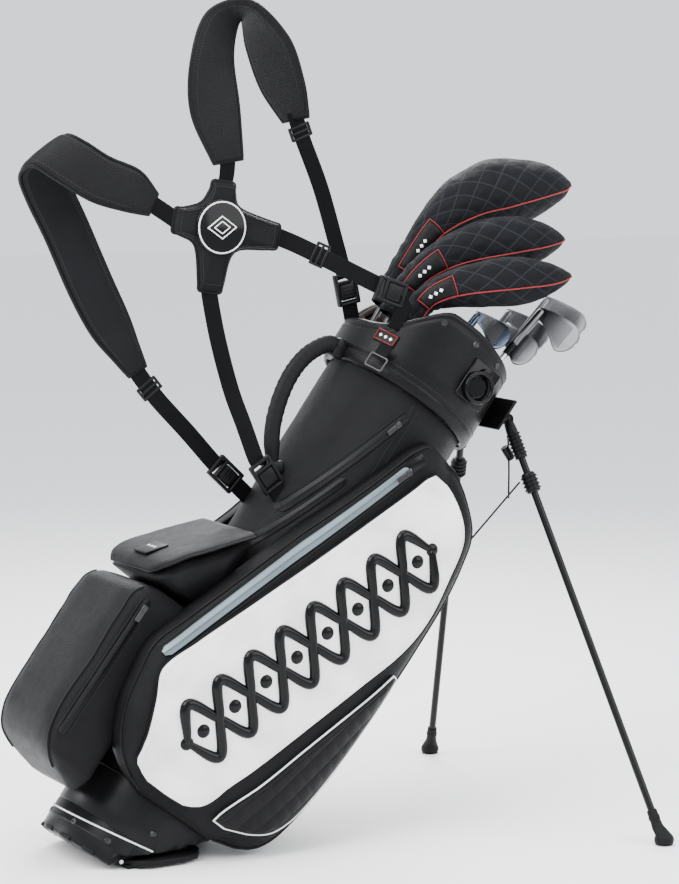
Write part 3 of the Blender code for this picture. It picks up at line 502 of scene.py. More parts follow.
            return self.noise_node(tree, solid, 420.0, 5.0), self.ramp(
                tree, self.noise_node(tree, solid, 160.0, 3.0), 0.35, 0.7, 0.0, 1.0)
        scale = 900.0 if kind is Surface.MOULDED else 25.0
        return self.noise_node(tree, solid, scale, 3.0), None


BLACK_CLOTH = Finish("black_cloth", "coated_fabric", (0.0036, 0.0036, 0.0041), Surface.WEAVE, 0.44,
                     size=0.0011,
                     depth=0.00025, specular=0.11)
SIDE_CLOTH = Finish("side_cloth", "coated_fabric", (0.0032, 0.0032, 0.0036), Surface.HIDE, 0.38, size=0.0016,
                    depth=0.0003, specular=0.12)
PANEL_HIDE = Finish("panel_hide", "white_leather", (0.88, 0.88, 0.87), Surface.HIDE, 0.42, size=0.0013,
                    depth=0.00012)
MOULDING = Finish("moulding", "moulding", (0.0055, 0.0055, 0.0060), Surface.MOULDED, 0.34, depth=0.0002,
                  specular=0.12)
GRIP_RUBBER = Finish("grip_rubber", "rubber", (0.0055, 0.0055, 0.0058), Surface.MOULDED, 0.55, depth=0.0003,
                     specular=0.12)
FLEECE_TRIM = Finish("fleece_trim", "fleece", (0.012, 0.006, 0.005), Surface.FLEECE, 0.95, depth=0.0016,
                     accent=(0.034, 0.017, 0.014), sheen=0.2, specular=0.1)
ZIP_TAPE = Finish("zip_tape", "grey_zip", (0.100, 0.140, 0.156), Surface.GLOSS, 0.34, depth=0.0003)
ZIP_COIL = Finish("zip_coil", "grey_zip", (0.075, 0.105, 0.120), Surface.COIL, 0.40, size=0.0016,
                  depth=0.0006)
DARK_ZIP = Finish("dark_zip", "coated_fabric", (0.0030, 0.0030, 0.0034), Surface.COIL, 0.30, size=0.0016,
                  depth=0.0004, specular=0.16)
PULL_METAL = Finish("pull_metal", "pull_metal", (0.045, 0.045, 0.048), Surface.BRUSHED, 0.30, metallic=0.9,
                    depth=0.00005)
LEG_GLOSS = Finish("leg_gloss", "black_leg", (0.006, 0.006, 0.0065), Surface.GLOSS, 0.15, depth=0.00003,
                   specular=0.17)
BADGE_GLOSS = Finish("badge_gloss", "moulding", (0.0030, 0.0030, 0.0034), Surface.GLOSS, 0.10, depth=0.0001,
                     specular=0.15)
CHROME = Finish("chrome", "bright_steel", (0.50, 0.51, 0.53), Surface.GLOSS, 0.10, metallic=1.0,
                depth=0.00002)
SATIN = Finish("satin", "satin_steel", (0.135, 0.138, 0.146), Surface.BRUSHED, 0.34, metallic=1.0,
               depth=0.00004)
FACE = Finish("face_lines", "satin_steel", (0.115, 0.118, 0.124), Surface.GROOVED, 0.42, metallic=1.0,
              size=0.0030,
              depth=0.0003, accent=(0.05, 0.05, 0.055))
DARK_STEEL = Finish("dark_steel", "dark_steel", (0.07, 0.09, 0.125), Surface.BRUSHED, 0.28, metallic=0.95,
                    depth=0.00004)
GRAPHITE = Finish("graphite", "graphite", (0.010, 0.010, 0.012), Surface.GLOSS, 0.22, coat=0.5, depth=0.00003)
COVER_KNIT = Finish("cover_knit", "cover_fabric", (0.0040, 0.0046, 0.0062), Surface.QUILT, 0.66, size=0.0012,
                    depth=0.0005, accent=(0.016, 0.018, 0.022), specular=0.10)
WEBBING = Finish("webbing", "webbing", (0.0040, 0.0040, 0.0044), Surface.RIBBED, 0.60, size=0.0016,
                 depth=0.0002,
                 specular=0.04)
PAD_MESH = Finish("pad_mesh", "mesh_pad", (0.0060, 0.0060, 0.0068), Surface.MESH, 0.58, size=0.0030,
                  depth=0.0008,
                  accent=(0.0012, 0.0012, 0.0012), specular=0.13)
PAD_INSIDE = Finish("pad_inside", "mesh_pad", (0.0045, 0.0047, 0.0056), Surface.WEAVE, 0.60, size=0.0012,
                    depth=0.0003, specular=0.12)
PAD_TRIM = Finish("pad_trim", "mesh_pad", (0.0030, 0.0030, 0.0034), Surface.HIDE, 0.45, size=0.0014,
                  depth=0.0003,
                  specular=0.14)
RED_TRIM = Finish("red_trim", "cover_fabric", (0.22, 0.0012, 0.0025), Surface.WEAVE, 0.55, size=0.0010,
                  depth=0.0002)
WHITE_TRIM = Finish("white_trim", "white_leather", (0.80, 0.80, 0.80), Surface.WEAVE, 0.45, size=0.0010,
                    depth=0.0002)
BLACK_THREAD = Finish("black_thread", "webbing", (0.012, 0.012, 0.013), Surface.WEAVE, 0.5, size=0.0006,
                      depth=0.0001, specular=0.3)


@dataclass
class SubAssembly:
    """One sub-assembly, which dresses and reports the pieces that it makes."""

    body: str = "bag"

    def dress(self, piece: bpy.types.Object, finish: Finish, *nodes: str, body: str = "",
              inside: Finish | None = None) -> bpy.types.Object:
        """Gives a piece its finish and its body, and hides the frame's nodes that it replaces.

        Args:
            piece: The new piece.
            finish: Its main finish.
            nodes: The frame's nodes that it replaces.
            body: The body that it rides on, where that isn't the sub-assembly's own.
            inside: A second finish, in the second material slot.

        Returns:
            The piece.
        """
        piece.data.materials.clear()
        piece.data.materials.append(finish.material())
        if inside:
            piece.data.materials.append(inside.material())
        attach(piece, body or self.body)
        if nodes:
            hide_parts(*nodes)
        LOG.info("%s rides on %s", piece.name, body or self.body)
        return piece

    def keep(self, finish: Finish, *nodes: str) -> None:
        """Gives frame nodes that stay a finish of their own."""
        for node in nodes:
            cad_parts[node].data.materials.clear()
            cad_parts[node].data.materials.append(finish.material())


@dataclass
class Studio:
    """The camera, the pale floor and the soft lights."""

    target: tuple[float, float, float] = (0.338, 0.0, 0.564)
    azimuth: float = -28.2
    elevation: float = 6.8
    distance: float = 4.36
    lens: float = 122.2

    def away(self, azimuth: float, elevation: float) -> Vector:
        """The direction from the object to a place round it."""
        a, e = math.radians(azimuth), math.radians(elevation)
        return Vector((math.sin(a) * math.cos(e), -math.cos(a) * math.cos(e), math.sin(e)))

    def build(self) -> None:
        """Sets the camera, the floor, the sky and the lights."""
        lens = bpy.data.cameras.new("view")
        lens.lens = self.lens
        lens.sensor_fit = "VERTICAL"
        lens.sensor_height = 36.0
        eye = bpy.data.objects.new("view", lens)
        back = self.away(self.azimuth, self.elevation)
        eye.location = Vector(self.target) + back * self.distance
        eye.rotation_euler = (-back).to_track_quat("-Z", "Y").to_euler()
        bpy.context.scene.collection.objects.link(eye)
        bpy.context.scene.camera = eye

        rows = [[Vector((x, y, -0.0006)) for x in (-14.0, 14.0)] for y in (-14.0, 14.0)]
        floor = grid("studio_floor", rows)
        floor.data.materials.append(self.floor_paint())

        world = bpy.data.worlds.new("studio")
        world.use_nodes = True
        sky = world.node_tree.nodes["Background"]
        sky.inputs["Color"].default_value = (0.93, 0.95, 1.0, 1.0)
        sky.inputs["Strength"].default_value = 1.45
        bpy.context.scene.world = world
        for name, azimuth, elevation, size, watts in (("key", -70.0, 42.0, 1.6, 95.0),
                                                      ("fill", 35.0, 25.0, 1.8, 45.0),
                                                      ("top", 0.0, 84.0, 1.8, 60.0),
                                                      ("rim", 150.0, 38.0, 1.2, 70.0),
                                                      ("left", -120.0, 12.0, 0.9, 26.0)):
            light = bpy.data.lights.new(name, "AREA")
            light.energy = watts
            light.size = size
            lamp = bpy.data.objects.new(name, light)
            aim = self.away(azimuth, elevation)
            lamp.location = Vector((0.32, 0.0, 0.55)) + aim * 2.4
            lamp.rotation_euler = (-aim).to_track_quat("-Z", "Y").to_euler()
            bpy.context.scene.collection.objects.link(lamp)

    def floor_paint(self) -> bpy.types.Material:
        """The floor's plain pale paint."""
        paint = bpy.data.materials.new("studio_floor")
        paint.use_nodes = True
        shader = paint.node_tree.nodes["Principled BSDF"]
        shader.inputs["Base Color"].default_value = (0.94, 0.94, 0.94, 1.0)
        shader.inputs["Roughness"].default_value = 0.75
        return paint


SIDE_POCKET = (
    (0.066, -0.090, 0.030, 0.10), (0.080, -0.130, 0.088, 0.45), (0.105, -0.165, 0.118, 0.75),
    (0.150, -0.192, 0.134, 0.95), (0.200, -0.203, 0.143, 1.0), (0.245, -0.207, 0.149, 1.0),
    (0.300, -0.186, 0.152, 1.0), (0.380, -0.154, 0.154, 1.0), (0.460, -0.122, 0.154, 1.0),
    (0.540, -0.091, 0.151, 1.0), (0.600, -0.068, 0.142, 0.95), (0.645, -0.051, 0.128, 0.80),
    (0.680, -0.038, 0.088, 0.60), (0.705, -0.020, 0.050, 0.15),
)
FRONT_PANEL = (
    (0.082, -0.100, -0.040), (0.095, -0.132, -0.018), (0.115, -0.142, -0.006), (0.135, -0.149, 0.0),
    (0.180, -0.168, 0.020), (0.222, -0.184, 0.037), (0.281, -0.162, 0.060), (0.360, -0.127, 0.091),
    (0.443, -0.091, 0.123), (0.500, -0.067, 0.131), (0.572, -0.037, 0.120), (0.616, -0.018, 0.112),
    (0.641, -0.007, 0.096), (0.660, 0.001, 0.070), (0.674, 0.012, 0.040),
)
HIP_PANEL = (
    (0.090, 0.012, 0.035), (0.104, 0.014, 0.075), (0.125, 0.022, 0.105), (0.167, 0.041, 0.126),
    (0.232, 0.065, 0.137), (0.300, 0.091, 0.144), (0.366, 0.117, 0.147), (0.405, 0.131, 0.143),
)


@dataclass
class Shell(SubAssembly):
    """The bag's tube, cuff, fleece rim, boot and foot plate."""

    sides: int = 96
    cuff_low: float = 0.748
    rim: float = 0.884
    rim_back: float = 0.815

    def oval(self, z: float, a: float, b: float, top: Callable[[float], float] | None = None) -> list[Vector]:
        """A ring round the bag's centre line in the bag's frame, its height level or set by angle."""
        ring = []
        for i in range(self.sides):
            angle = 2 * math.pi * i / self.sides
            height = top(angle) if top else z
            ring.append(tilt(axis_x(height) + a * math.cos(angle), -b * math.sin(angle), height))
        return ring

    def rim_at(self, drop: float) -> Callable[[float], float]:
        """The rim's height round the cuff: level in front, dipping to the strap side."""
        def height(angle: float) -> float:
            """The height that belongs to this angle round the cuff."""
            back = max(0.0, -math.cos(angle) - 0.35) / 0.65
            soft = back * back * (3 - 2 * back)
            return self.rim - drop - (self.rim - self.rim_back) * soft - 0.012 * max(0.0, math.cos(angle))
        return height

    def build(self) -> None:
        """Makes every piece of the shell."""
        self.build_tube()
        self.build_cuff()
        self.build_boot()
        self.build_foot_plate()
        self.keep(FLEECE_TRIM, "divider_grid")
        self.keep(GRAPHITE, "spine_stay")
        self.keep(CHROME, "base_hinge_pin")

    def build_tube(self) -> None:
        """The cloth tube with its soft folds and its four sewn seams."""
        rows = []
        count = 90
        for i in range(count + 1):
            z = 0.0765 + (0.7995 - 0.0765) * i / count
            ring = []
            for k in range(self.sides):
                angle = 2 * math.pi * k / self.sides
                way = Vector((math.cos(angle), -math.sin(angle), 0.0))
                spot = Vector((way.x * 0.1, way.y * 0.1, z * 0.55))
                puff = crease(spot, 0.055, 0.0011, 3.0) + crease(spot, 0.017, 0.0004, 5.0)
                seam = min(abs(math.remainder(angle - s, 2 * math.pi)) for s in (0.55, 1.75, -0.55, -1.75))
                puff -= 0.0016 * math.exp(-(seam * 0.11 / 0.0022) ** 2)
                ring.append(tilt(axis_x(z) + (BODY_A + puff) * way.x, (BODY_B + puff) * way.y, z))
            rows.append(ring)
        inside = [self.oval(z, BODY_A - 0.0035, BODY_B - 0.0035) for z in (0.7995, 0.55, 0.3, 0.0765)]
        self.dress(grid("bag_tube", rows + inside, wrap=True, loop=True), BLACK_CLOTH, "bag_body")
        for number, where in enumerate((0.55, 1.75, -0.55, -1.75)):
            for shift in (-0.045, 0.045):
                path = [tilt(axis_x(z) + (BODY_A + 0.0006) * math.cos(where + shift),
                             -(BODY_B + 0.0006) * math.sin(where + shift), z)
                        for z in (0.09 + 0.65 * t / 60 for t in range(61))]
                name = f"tube_stitches_{number}_{'a' if shift < 0 else 'b'}"
                self.dress(stitches(name, path, self.outward), BLACK_THREAD)

    def outward(self, point: Vector) -> Vector:
        """The direction away from the tube's centre line at a place in the world."""
        along = tilt(0.0, 0.0, 1.0)
        base = tilt(-0.017, 0.0, 0.0)
        off = point - base
        return (off - along * off.dot(along)).normalized()

    def build_cuff(self) -> None:
        """The moulded cuff, its trim lines, rivets, label and fleece rim."""
        inner_a, inner_b = BODY_A + 0.0009, BODY_B + 0.0009
        low = self.cuff_low
        rings = []
        lower = ((low, -0.0120), (low, -0.0060), (low + 0.0015, -0.0030), (low + 0.006, -0.0010),
                 (low + 0.012, 0.0),
                 (low + 0.016, 0.0002), (low + 0.0175, -0.0016), (low + 0.0190, 0.0002))
        rings += [self.oval(z, CUFF_A + r, CUFF_B + r) for z, r in lower]
        for share in (0.25, 0.5, 0.75, 0.9):
            rings.append([tilt(*self.between(k, low + 0.019, share, 0.0)) for k in range(self.sides)])
        for drop, r in ((0.012, 0.0), (0.0105, -0.0014), (0.009, 0.0), (0.004, -0.0004), (0.0012, -0.0022),
                        (0.0, -0.0045), (0.0008, -0.0075), (0.006, -0.0105)):
            rings.append(self.oval(0.86, CUFF_A + r, CUFF_B + r, self.rim_at(drop)))
        rings.append(self.oval(0.86, inner_a, inner_b, self.rim_at(0.012)))
        rings.append(self.oval(low, inner_a, inner_b))
        self.dress(grid("cuff_shell", rings, wrap=True, loop=True), SIDE_CLOTH, "top_cuff")

        for name, drop in (("rim_stitches_low", 0.0165), ("rim_stitches_high", 0.0060)):
            path = self.oval(0.86, CUFF_A + 0.0002, CUFF_B + 0.0002, self.rim_at(drop))
            self.dress(stitches(name, denser(path), self.outward), BLACK_THREAD)
        path = self.oval(low + 0.024, CUFF_A + 0.0004, CUFF_B + 0.0004)
        self.dress(stitches("cuff_stitches", denser(path), self.outward), BLACK_THREAD)

        roll = []
        height = self.rim_at(0.0035)
        for i in range(self.sides):
            angle = 2 * math.pi * i / self.sides
            ring = []
            for k in range(14):
                t = 2 * math.pi * k / 14
                r = 0.0050 + 0.0008 * noise.noise(Vector((math.cos(angle) * 30, math.sin(angle) * 30,
                                                          k * 1.3)))
                out = -0.0112 + r * math.cos(t) * 0.85
                z = height(angle) - 0.001 + r * math.sin(t)
                ring.append(tilt(axis_x(z) + (CUFF_A + out) * math.cos(angle),
                                 -(CUFF_B + out) * math.sin(angle), z))
            roll.append(ring)
        self.dress(grid("fleece_rim", roll, wrap=True, loop=True), FLEECE_TRIM)
        skin_a, skin_b = BODY_A - 0.0002, BODY_B - 0.0002
        lining = [self.oval(0.8005, skin_a, skin_b), self.oval(0.83, skin_a, skin_b, self.rim_at(0.04)),
                  self.oval(0.86, skin_a, skin_b, self.rim_at(0.016)),
                  self.oval(0.86, skin_a - 0.003, skin_b - 0.003, self.rim_at(0.012)),
                  self.oval(0.83, skin_a - 0.004, skin_b - 0.004, self.rim_at(0.04)),
                  self.oval(0.8005, skin_a - 0.004, skin_b - 0.004)]
        self.dress(grid("fleece_lining", lining, wrap=True, loop=True), FLEECE_TRIM, "cuff_lining")

        rivets = []
        for angle, z in ((2.02, 0.866), (1.55, 0.868), (-2.02, 0.866), (-1.55, 0.868), (1.1, 0.868),
                         (-1.1, 0.868)):
            spot, out = self.on_cuff(angle, z - 0.004)
            rivets.append(lathe("rivet", spot - out * 0.001, out, RIVET_PROFILE, 20))
        self.dress(join(rivets, "cuff_rivets"), PULL_METAL)
        self.build_label("cuff_label", 2.52, 0.800, 0.036, 0.020)

    def on_cuff(self, angle: float, z: float) -> tuple[Vector, Vector]:
        """A place on the cuff's outside by angle and height, and the way out from it."""
        spot = tilt(axis_x(z) + CUFF_A * math.cos(angle), -CUFF_B * math.sin(angle), z)
        out = (tilt(math.cos(angle) / CUFF_A, -math.sin(angle) / CUFF_B, 0.0)).normalized()
        return spot, out

    def between(self, k: int, low: float, share: float, grow: float) -> tuple[float, float, float]:
        """A place on the cuff's wall between its foot and its rim, in the bag's frame."""
        angle = 2 * math.pi * k / self.sides
        z = low + (self.rim_at(0.012)(angle) - low) * share
        return axis_x(z) + (CUFF_A + grow) * math.cos(angle), -(CUFF_B + grow) * math.sin(angle), z

    def build_label(self, name: str, angle: float, z: float, wide: float, tall: float) -> None:
        """A sewn label with a red border and a plain row of diamonds."""
        spot, out = self.on_cuff(angle, z)
        up = tilt(0.0, 0.0, 1.0)
        up = (up - out * up.dot(out)).normalized()
        side = up.cross(out)
        rows = [[spot + side * x + up * y + out * (0.0022 - 2.4 * x * x)
                 for x in (wide * (i / 8 - 0.5) for i in range(9))]
                for y in (tall * (j / 4 - 0.5) for j in range(5))]
        patch = grid(name, rows)
        thick = patch.modifiers.new("thick", "SOLIDIFY")
        thick.thickness = 0.0012
        self.dress(patch, PAD_TRIM)
        edge = [(-0.44, -0.38), (0.44, -0.38), (0.44, 0.38), (-0.44, 0.38)]
        line = []
        for (x1, y1), (x2, y2) in zip(edge, edge[1:] + edge[:1]):
            for t in range(6):
                x, y = (x1 + (x2 - x1) * t / 6) * wide, (y1 + (y2 - y1) * t / 6) * tall
                line.append(spot + side * x + up * y + out * (0.0030 - 2.4 * x * x))
        self.dress(cord(f"{name}_border", line, 0.0006, cyclic=True), RED_TRIM)
        marks = []
        for i in (-1, 0, 1):
            x = i * wide * 0.24
            marks.append(block(spot + side * x + out * (0.0030 - 2.4 * x * x),
                               ((side + up).normalized(), (up - side).normalized(), out),
                               (tall * 0.20, tall * 0.20, 0.0008), 0.0003))
        self.dress(join(marks, f"{name}_marks"), WHITE_TRIM)

    def build_boot(self) -> None:
        """The moulded boot with its ribs, its white piping, its heel and its screws."""
        a, b = BODY_A - 0.001, BODY_B - 0.001
        floor_z = 0.0192
        rows = []
        profile = ((-0.040, -0.004), (-0.0385, -0.001), (-0.034, 0.0), (-0.020, 0.0), (-0.0185, 0.0012),
                   (-0.0155, 0.0012), (-0.014, 0.0), (0.006, 0.0), (0.0075, -0.0010), (0.009, 0.0),
                   (0.030, 0.0),
                   (0.050, 0.0004), (0.066, 0.0010), (0.0755, 0.0))
        for z, r in profile:
            ring = []
            for i in range(self.sides):
                angle = 2 * math.pi * i / self.sides
                grow = r + 0.0010 * max(0.0, math.sin(angle * 16)) ** 4 * (0.012 < z < 0.060)
                point = tilt(axis_x(z) + (a + grow) * math.cos(angle), -(b + grow) * math.sin(angle), z)
                if point.x > -0.0735 and point.z < floor_z:
                    point.z = floor_z
                ring.append(point)
            rows.append(ring)
        for z in (0.0755, 0.050):
            ring = self.oval(z, a - 0.004, b - 0.004)
            for point in ring:
                point.z = max(point.z, floor_z + 0.004)
            rows.append(ring)
        boot = grid("boot_shell", rows, wrap=True, caps=True)
        boot.data.set_sharp_from_angle(angle=math.radians(40))
        self.dress(boot, MOULDING, "base_boot")

        for name, z, grow, radius, finish in (("boot_piping", 0.0105, 0.0008, 0.0013, WHITE_TRIM),
                                              ("boot_top_piping", 0.0755, 0.0018, 0.0017, BLACK_CLOTH)):
            path = []
            for i in range(self.sides):
                angle = 2 * math.pi * i / self.sides
                level = z - 0.018 * max(0.0, -math.cos(angle)) * (name == "boot_piping")
                point = tilt(axis_x(level) + (a + grow) * math.cos(angle), -(b + grow) * math.sin(angle),
                             level)
                if point.z > floor_z + 0.003:
                    path.append(point)
            self.dress(cord(name, path, radius, cyclic=name == "boot_top_piping"), finish)

        screws = []
        for angle, z in ((2.2, -0.012), (2.75, -0.014), (-2.2, -0.012), (-2.75, -0.014), (1.75, 0.030),
                         (-1.75, 0.030)):
            spot = tilt(axis_x(z) + a * math.cos(angle), -b * math.sin(angle), z)
            out = tilt(math.cos(angle), -math.sin(angle), 0.0)
            screws.append(lathe("screw", spot - out * 0.001, out, SCREW_PROFILE, 18))
        self.dress(join(screws, "boot_screws"), PULL_METAL)
        pads = []
        for angle in (2.35, 2.75, 3.1416, -2.75, -2.35):
            spot = tilt(axis_x(-0.038) + (a - 0.006) * math.cos(angle), -(b - 0.006) * math.sin(angle),
                        -0.0375)
            out = tilt(math.cos(angle), -math.sin(angle), 0.0)
            up = tilt(0.0, 0.0, 1.0)
            pads.append(block(spot, (out, up.cross(out), up), (0.014, 0.020, 0.006), 0.0015))
        self.dress(join(pads, "heel_pads"), GRIP_RUBBER)

    def build_foot_plate(self) -> None:
        """The folding plate with its knuckle, ribs and grip pads."""
        half = [(-0.053, -0.086), (-0.046, -0.094), (-0.036, -0.110), (-0.018, -0.1175), (0.030, -0.116),
                (0.056, -0.106), (0.070, -0.082), (0.0716, -0.040)]
        outline = [Vector((x, y, 0.0075)) for x, y in half] + [Vector((x, -y, 0.0075)) for x,
                                                               y in reversed(half)]
        pieces = [plate("plate", outline, Vector((0.0, 0.0, 0.009)), 0.002)]
        pieces.append(lathe("knuckle", Vector((-0.058, -0.0918, 0.0115)), Vector((0.0, 1.0, 0.0)),
                            ((0.0, 0.0), (0.0, 0.0060), (0.001, 0.0071), (0.1826, 0.0071), (0.1836, 0.0060),
                             (0.1836, 0.0)), 24))
        axes = (Vector((1, 0, 0)), Vector((0, 1, 0)), Vector((0, 0, 1)))
        for x, y, length, width in ((0.0, 0.0, 0.030, 0.060), (0.052, 0.070, 0.026, 0.030),
                                    (0.052, -0.070, 0.026, 0.030),
                                    (-0.036, 0.085, 0.026, 0.030), (-0.036, -0.085, 0.026, 0.030)):
            pieces.append(block(Vector((x, y, 0.0025)), axes, (length, width, 0.005), 0.0008))
            for k in (-1, 0, 1):
                pieces.append(block(Vector((x + k * length * 0.3, y, 0.0007)), axes,
                                    (0.003, width * 0.9, 0.0013), 0.0003))
        for y in (-0.075, -0.045, -0.015, 0.015, 0.045, 0.075):
            pieces.append(block(Vector((0.004, y, 0.0126)), axes, (0.100, 0.0028, 0.0022), 0.0006))
        self.dress(join(pieces, "foot_plate_moulding"), GRIP_RUBBER, "foot_plate", body="foot")


def wall_at(x: float, z: float, grow: float = 0.0) -> float:
    """The tube's half width where its wall is at X."""
    across = (x - axis_x(z)) / (BODY_A + grow)
    return (BODY_B + grow) * math.sqrt(max(0.0, 1 - across * across))


def pocket_face(x: float, z: float) -> float:
    """How far out in Y the side pocket's face is at a place on it."""
    back, front, fullness = table_at(SIDE_POCKET, z)
    across = max(-1.0, min(1.0, (2 * x - back - front) / (front - back)))
    edge = max(wall_at(x, z, 0.006), 0.088) + 0.012
    return edge + (0.147 - edge) * fullness * math.sqrt(max(0.0, 1 - abs(across) ** 6))


@dataclass
class Pockets(SubAssembly):
    """The side pockets with their panels, piping and zips, the ball pocket and the valuables pocket."""

    lift: float = 0.0022
    ornament_radius: float = 0.0072
    ornament_height: float = 0.046

    def build(self) -> None:
        """Makes every pocket."""
        for name, side in (("near", -1.0), ("far", 1.0)):
            self.build_side(name, side)
        self.build_panel("white_side_panel", FRONT_PANEL, PANEL_HIDE, "white_panel", BLACK_CLOTH, 0.0016,
                         False)
        self.build_panel("quilted_hip", HIP_PANEL, SIDE_CLOTH, "hip_panel", WHITE_TRIM, 0.0014, True)
        self.build_ornament()
        self.build_rain_zip()
        self.build_upper_zips()
        self.build_ball_pocket()
        self.build_valuables()

    def face_point(self, x: float, z: float, out: float, side: float = -1.0) -> Vector:
        """A place over the side pocket's face, a little way out from it."""
        return tilt(x, side * (pocket_face(x, z) + out), z)

    def face_out(self, _: Vector) -> Vector:
        """Out from the near pocket's face."""
        return Vector((0.0, -1.0, 0.0))

    def build_side(self, name: str, side: float) -> None:
        """One full-length pocket, with folds and edge piping."""
        rows = []
        low, high = SIDE_POCKET[0][0], SIDE_POCKET[-1][0]
        count, wide = 72, 44
        for i in range(count + 1):
            z = low + (high - low) * i / count
            back, front, _ = table_at(SIDE_POCKET, z)
            spots = [back + (front - back) * (1 - math.cos(math.pi * k / wide)) / 2 for k in range(wide + 1)]
            outer = []
            for x in spots:
                share = 4 * (x - back) * (front - x) / (front - back) ** 2
                fold = crease(Vector((x, side, z)), 0.06, 0.0016, 1.0) + crease(Vector((x, z, side)), 0.02,
                                                                                0.0005, 2.0)
                outer.append(tilt(x, side * (pocket_face(x, z) + fold * share - 0.0004), z))
            inner = [tilt(x, side * max(wall_at(x, z, 0.0035), 0.088), z) for x in reversed(spots)]
            rows.append(outer + inner)
        pocket = grid(f"{name}_pocket_cloth", rows, wrap=True, caps=True)
        self.dress(pocket, BLACK_CLOTH, f"{name}_side_pocket")
        edge = []
        for i in range(count + 1):
            z = low + 0.004 + (high - low - 0.008) * i / count
            back, front, _ = table_at(SIDE_POCKET, z)
            edge.append((back + 0.004, front - 0.004, z))
        outline = [self.rim_spot(b, z, side) for b, _, z in edge] + [self.rim_spot(f, z, side) for _, f,
                                                                     z in reversed(edge)]
        self.dress(cord(f"{name}_pocket_piping", outline, 0.0021, cyclic=True), SIDE_CLOTH)

    def rim_spot(self, x: float, z: float, side: float) -> Vector:
        """A place on the pocket's turned edge, where its piping runs."""
        return tilt(x, side * (pocket_face(x, z) + 0.0004), z)

    def build_panel(self, name: str, table: Sequence[Sequence[float]], finish: Finish, node: str,
                    trim: Finish,
                    trim_radius: float, quilted: bool) -> None:
        """A sewn-on panel that follows the near pocket's face.

        Args:
            name: The piece's name.
            table: Height, back edge and front edge.
            finish: The panel's finish.
            node: The frame's node that it replaces.
            trim: The piping's finish.
            trim_radius: The piping's radius.
            quilted: Whether it is pressed into small pillows.
        """
        rows = []
        low, high = table[0][0], table[-1][0]
        count, wide = (150, 90) if quilted else (90, 50)
        edge = []
        for i in range(count + 1):
            z = low + (high - low) * i / count
            back, front = table_at(table, z)
            row = []
            for k in range(wide + 1):
                x = back + (front - back) * k / wide
                rim = min(x - back, front - x, (z - low) * 1.2, (high - z) * 1.2)
                out = self.lift + 0.0030 * min(1.0, max(0.0, rim) / 0.004) ** 0.5
                if quilted:
                    u, v = (x * 0.86 + z * 0.5) / 0.016, (z * 0.86 - x * 0.5) / 0.016
                    pillow = abs(math.sin(math.pi * (u + v) / 2) * math.sin(math.pi * (u - v) / 2)) ** 0.45
                    out += 0.0022 * pillow * min(1.0, max(0.0, rim - 0.006) / 0.004)
                row.append(self.face_point(x, z, out))
            rows.append(row)
            edge.append((back, front, z))
        panel = grid(name, rows)
        self.dress(panel, finish, node)
        outline = [self.face_point(b, z, self.lift + 0.0008) for b, _, z in edge]
        outline += [self.face_point(f, z, self.lift + 0.0008) for _, f, z in reversed(edge)]
        self.dress(cord(f"{name}_piping", outline, trim_radius, cyclic=True), trim)
        inset = [self.face_point(b + 0.0065, z, self.lift + 0.0034) for b, _, z in edge[3:-3]]
        inset += [self.face_point(f - 0.0065, z, self.lift + 0.0034) for _, f, z in reversed(edge[3:-3])]
        self.dress(stitches(f"{name}_stitches", inset, self.face_out),
                   WHITE_TRIM if not quilted else BLACK_THREAD)

    def panel_spot(self, along: float, across: float, out: float) -> Vector:
        """A place on the white panel by distances along and across its long middle line."""
        start, end = Vector((-0.108, 0.118)), Vector((0.078, 0.612))
        run = (end - start).normalized()
        side = Vector((-run.y, run.x))
        spot = start + run * along + side * across
        return self.face_point(spot.x, spot.y, out)

    def build_ornament(self) -> None:
        """A raised glossy chain of linked diamonds along the white panel, with a bead in each link."""
        length, links = 0.455, 4
        half = length / links / 2
        for name, way in (("ornament_rising", 1.0), ("ornament_falling", -1.0)):
            spots = []
            for i in range(links * 4 + 1):
                at = 0.040 + half * i / 2
                turn = way * math.sin(math.pi * i / 2) if i % 2 else 0.0
                spots.append((at, turn * self.ornament_height, 0.0))
            line = smooth_path(spots, 12)
            rows = []
            for i, point in enumerate(line):
                ahead, behind = line[min(i + 1, len(line) - 1)], line[max(i - 1, 0)]
                run = self.panel_spot(ahead.x, ahead.y, 0.004) - self.panel_spot(behind.x, behind.y, 0.004)
                side, deep, _ = frame_of(run)
                over = 0.0014 * way * math.cos(math.pi * (point.x - 0.040) / half)
                ends = min(1.0, 0.72 + 0.28 * min(i, len(line) - 1 - i) / 7)
                swell = self.ornament_radius * ends * (1.0 + 0.16 * abs(point.y) / self.ornament_height)
                centre = self.panel_spot(point.x, point.y, 0.0040 + over)
                rows.append([centre + (side * math.cos(t) + deep * math.sin(t)) * swell
                             for t in (2 * math.pi * k / 24 for k in range(24))])
            self.dress(grid(name, rows, wrap=True, caps=True), BADGE_GLOSS)
        drops = []
        for at in (0.0, *(i + 0.5 for i in range(links * 2)), links * 2.0):
            centre = self.panel_spot(0.040 + half * at, 0.0, 0.0040)
            drops.append(lathe("bead", centre + Vector((0.0, 0.003, 0.0)), Vector((0.0, -1.0, 0.0)),
                               ((0.0, 0.0105), (0.0030, 0.0105), (0.0050, 0.0094), (0.0066, 0.0070),
                                (0.0076, 0.0036),
                                (0.0078, 0.0)), 32))
        self.dress(join(drops, "ornament_beads"), BADGE_GLOSS)

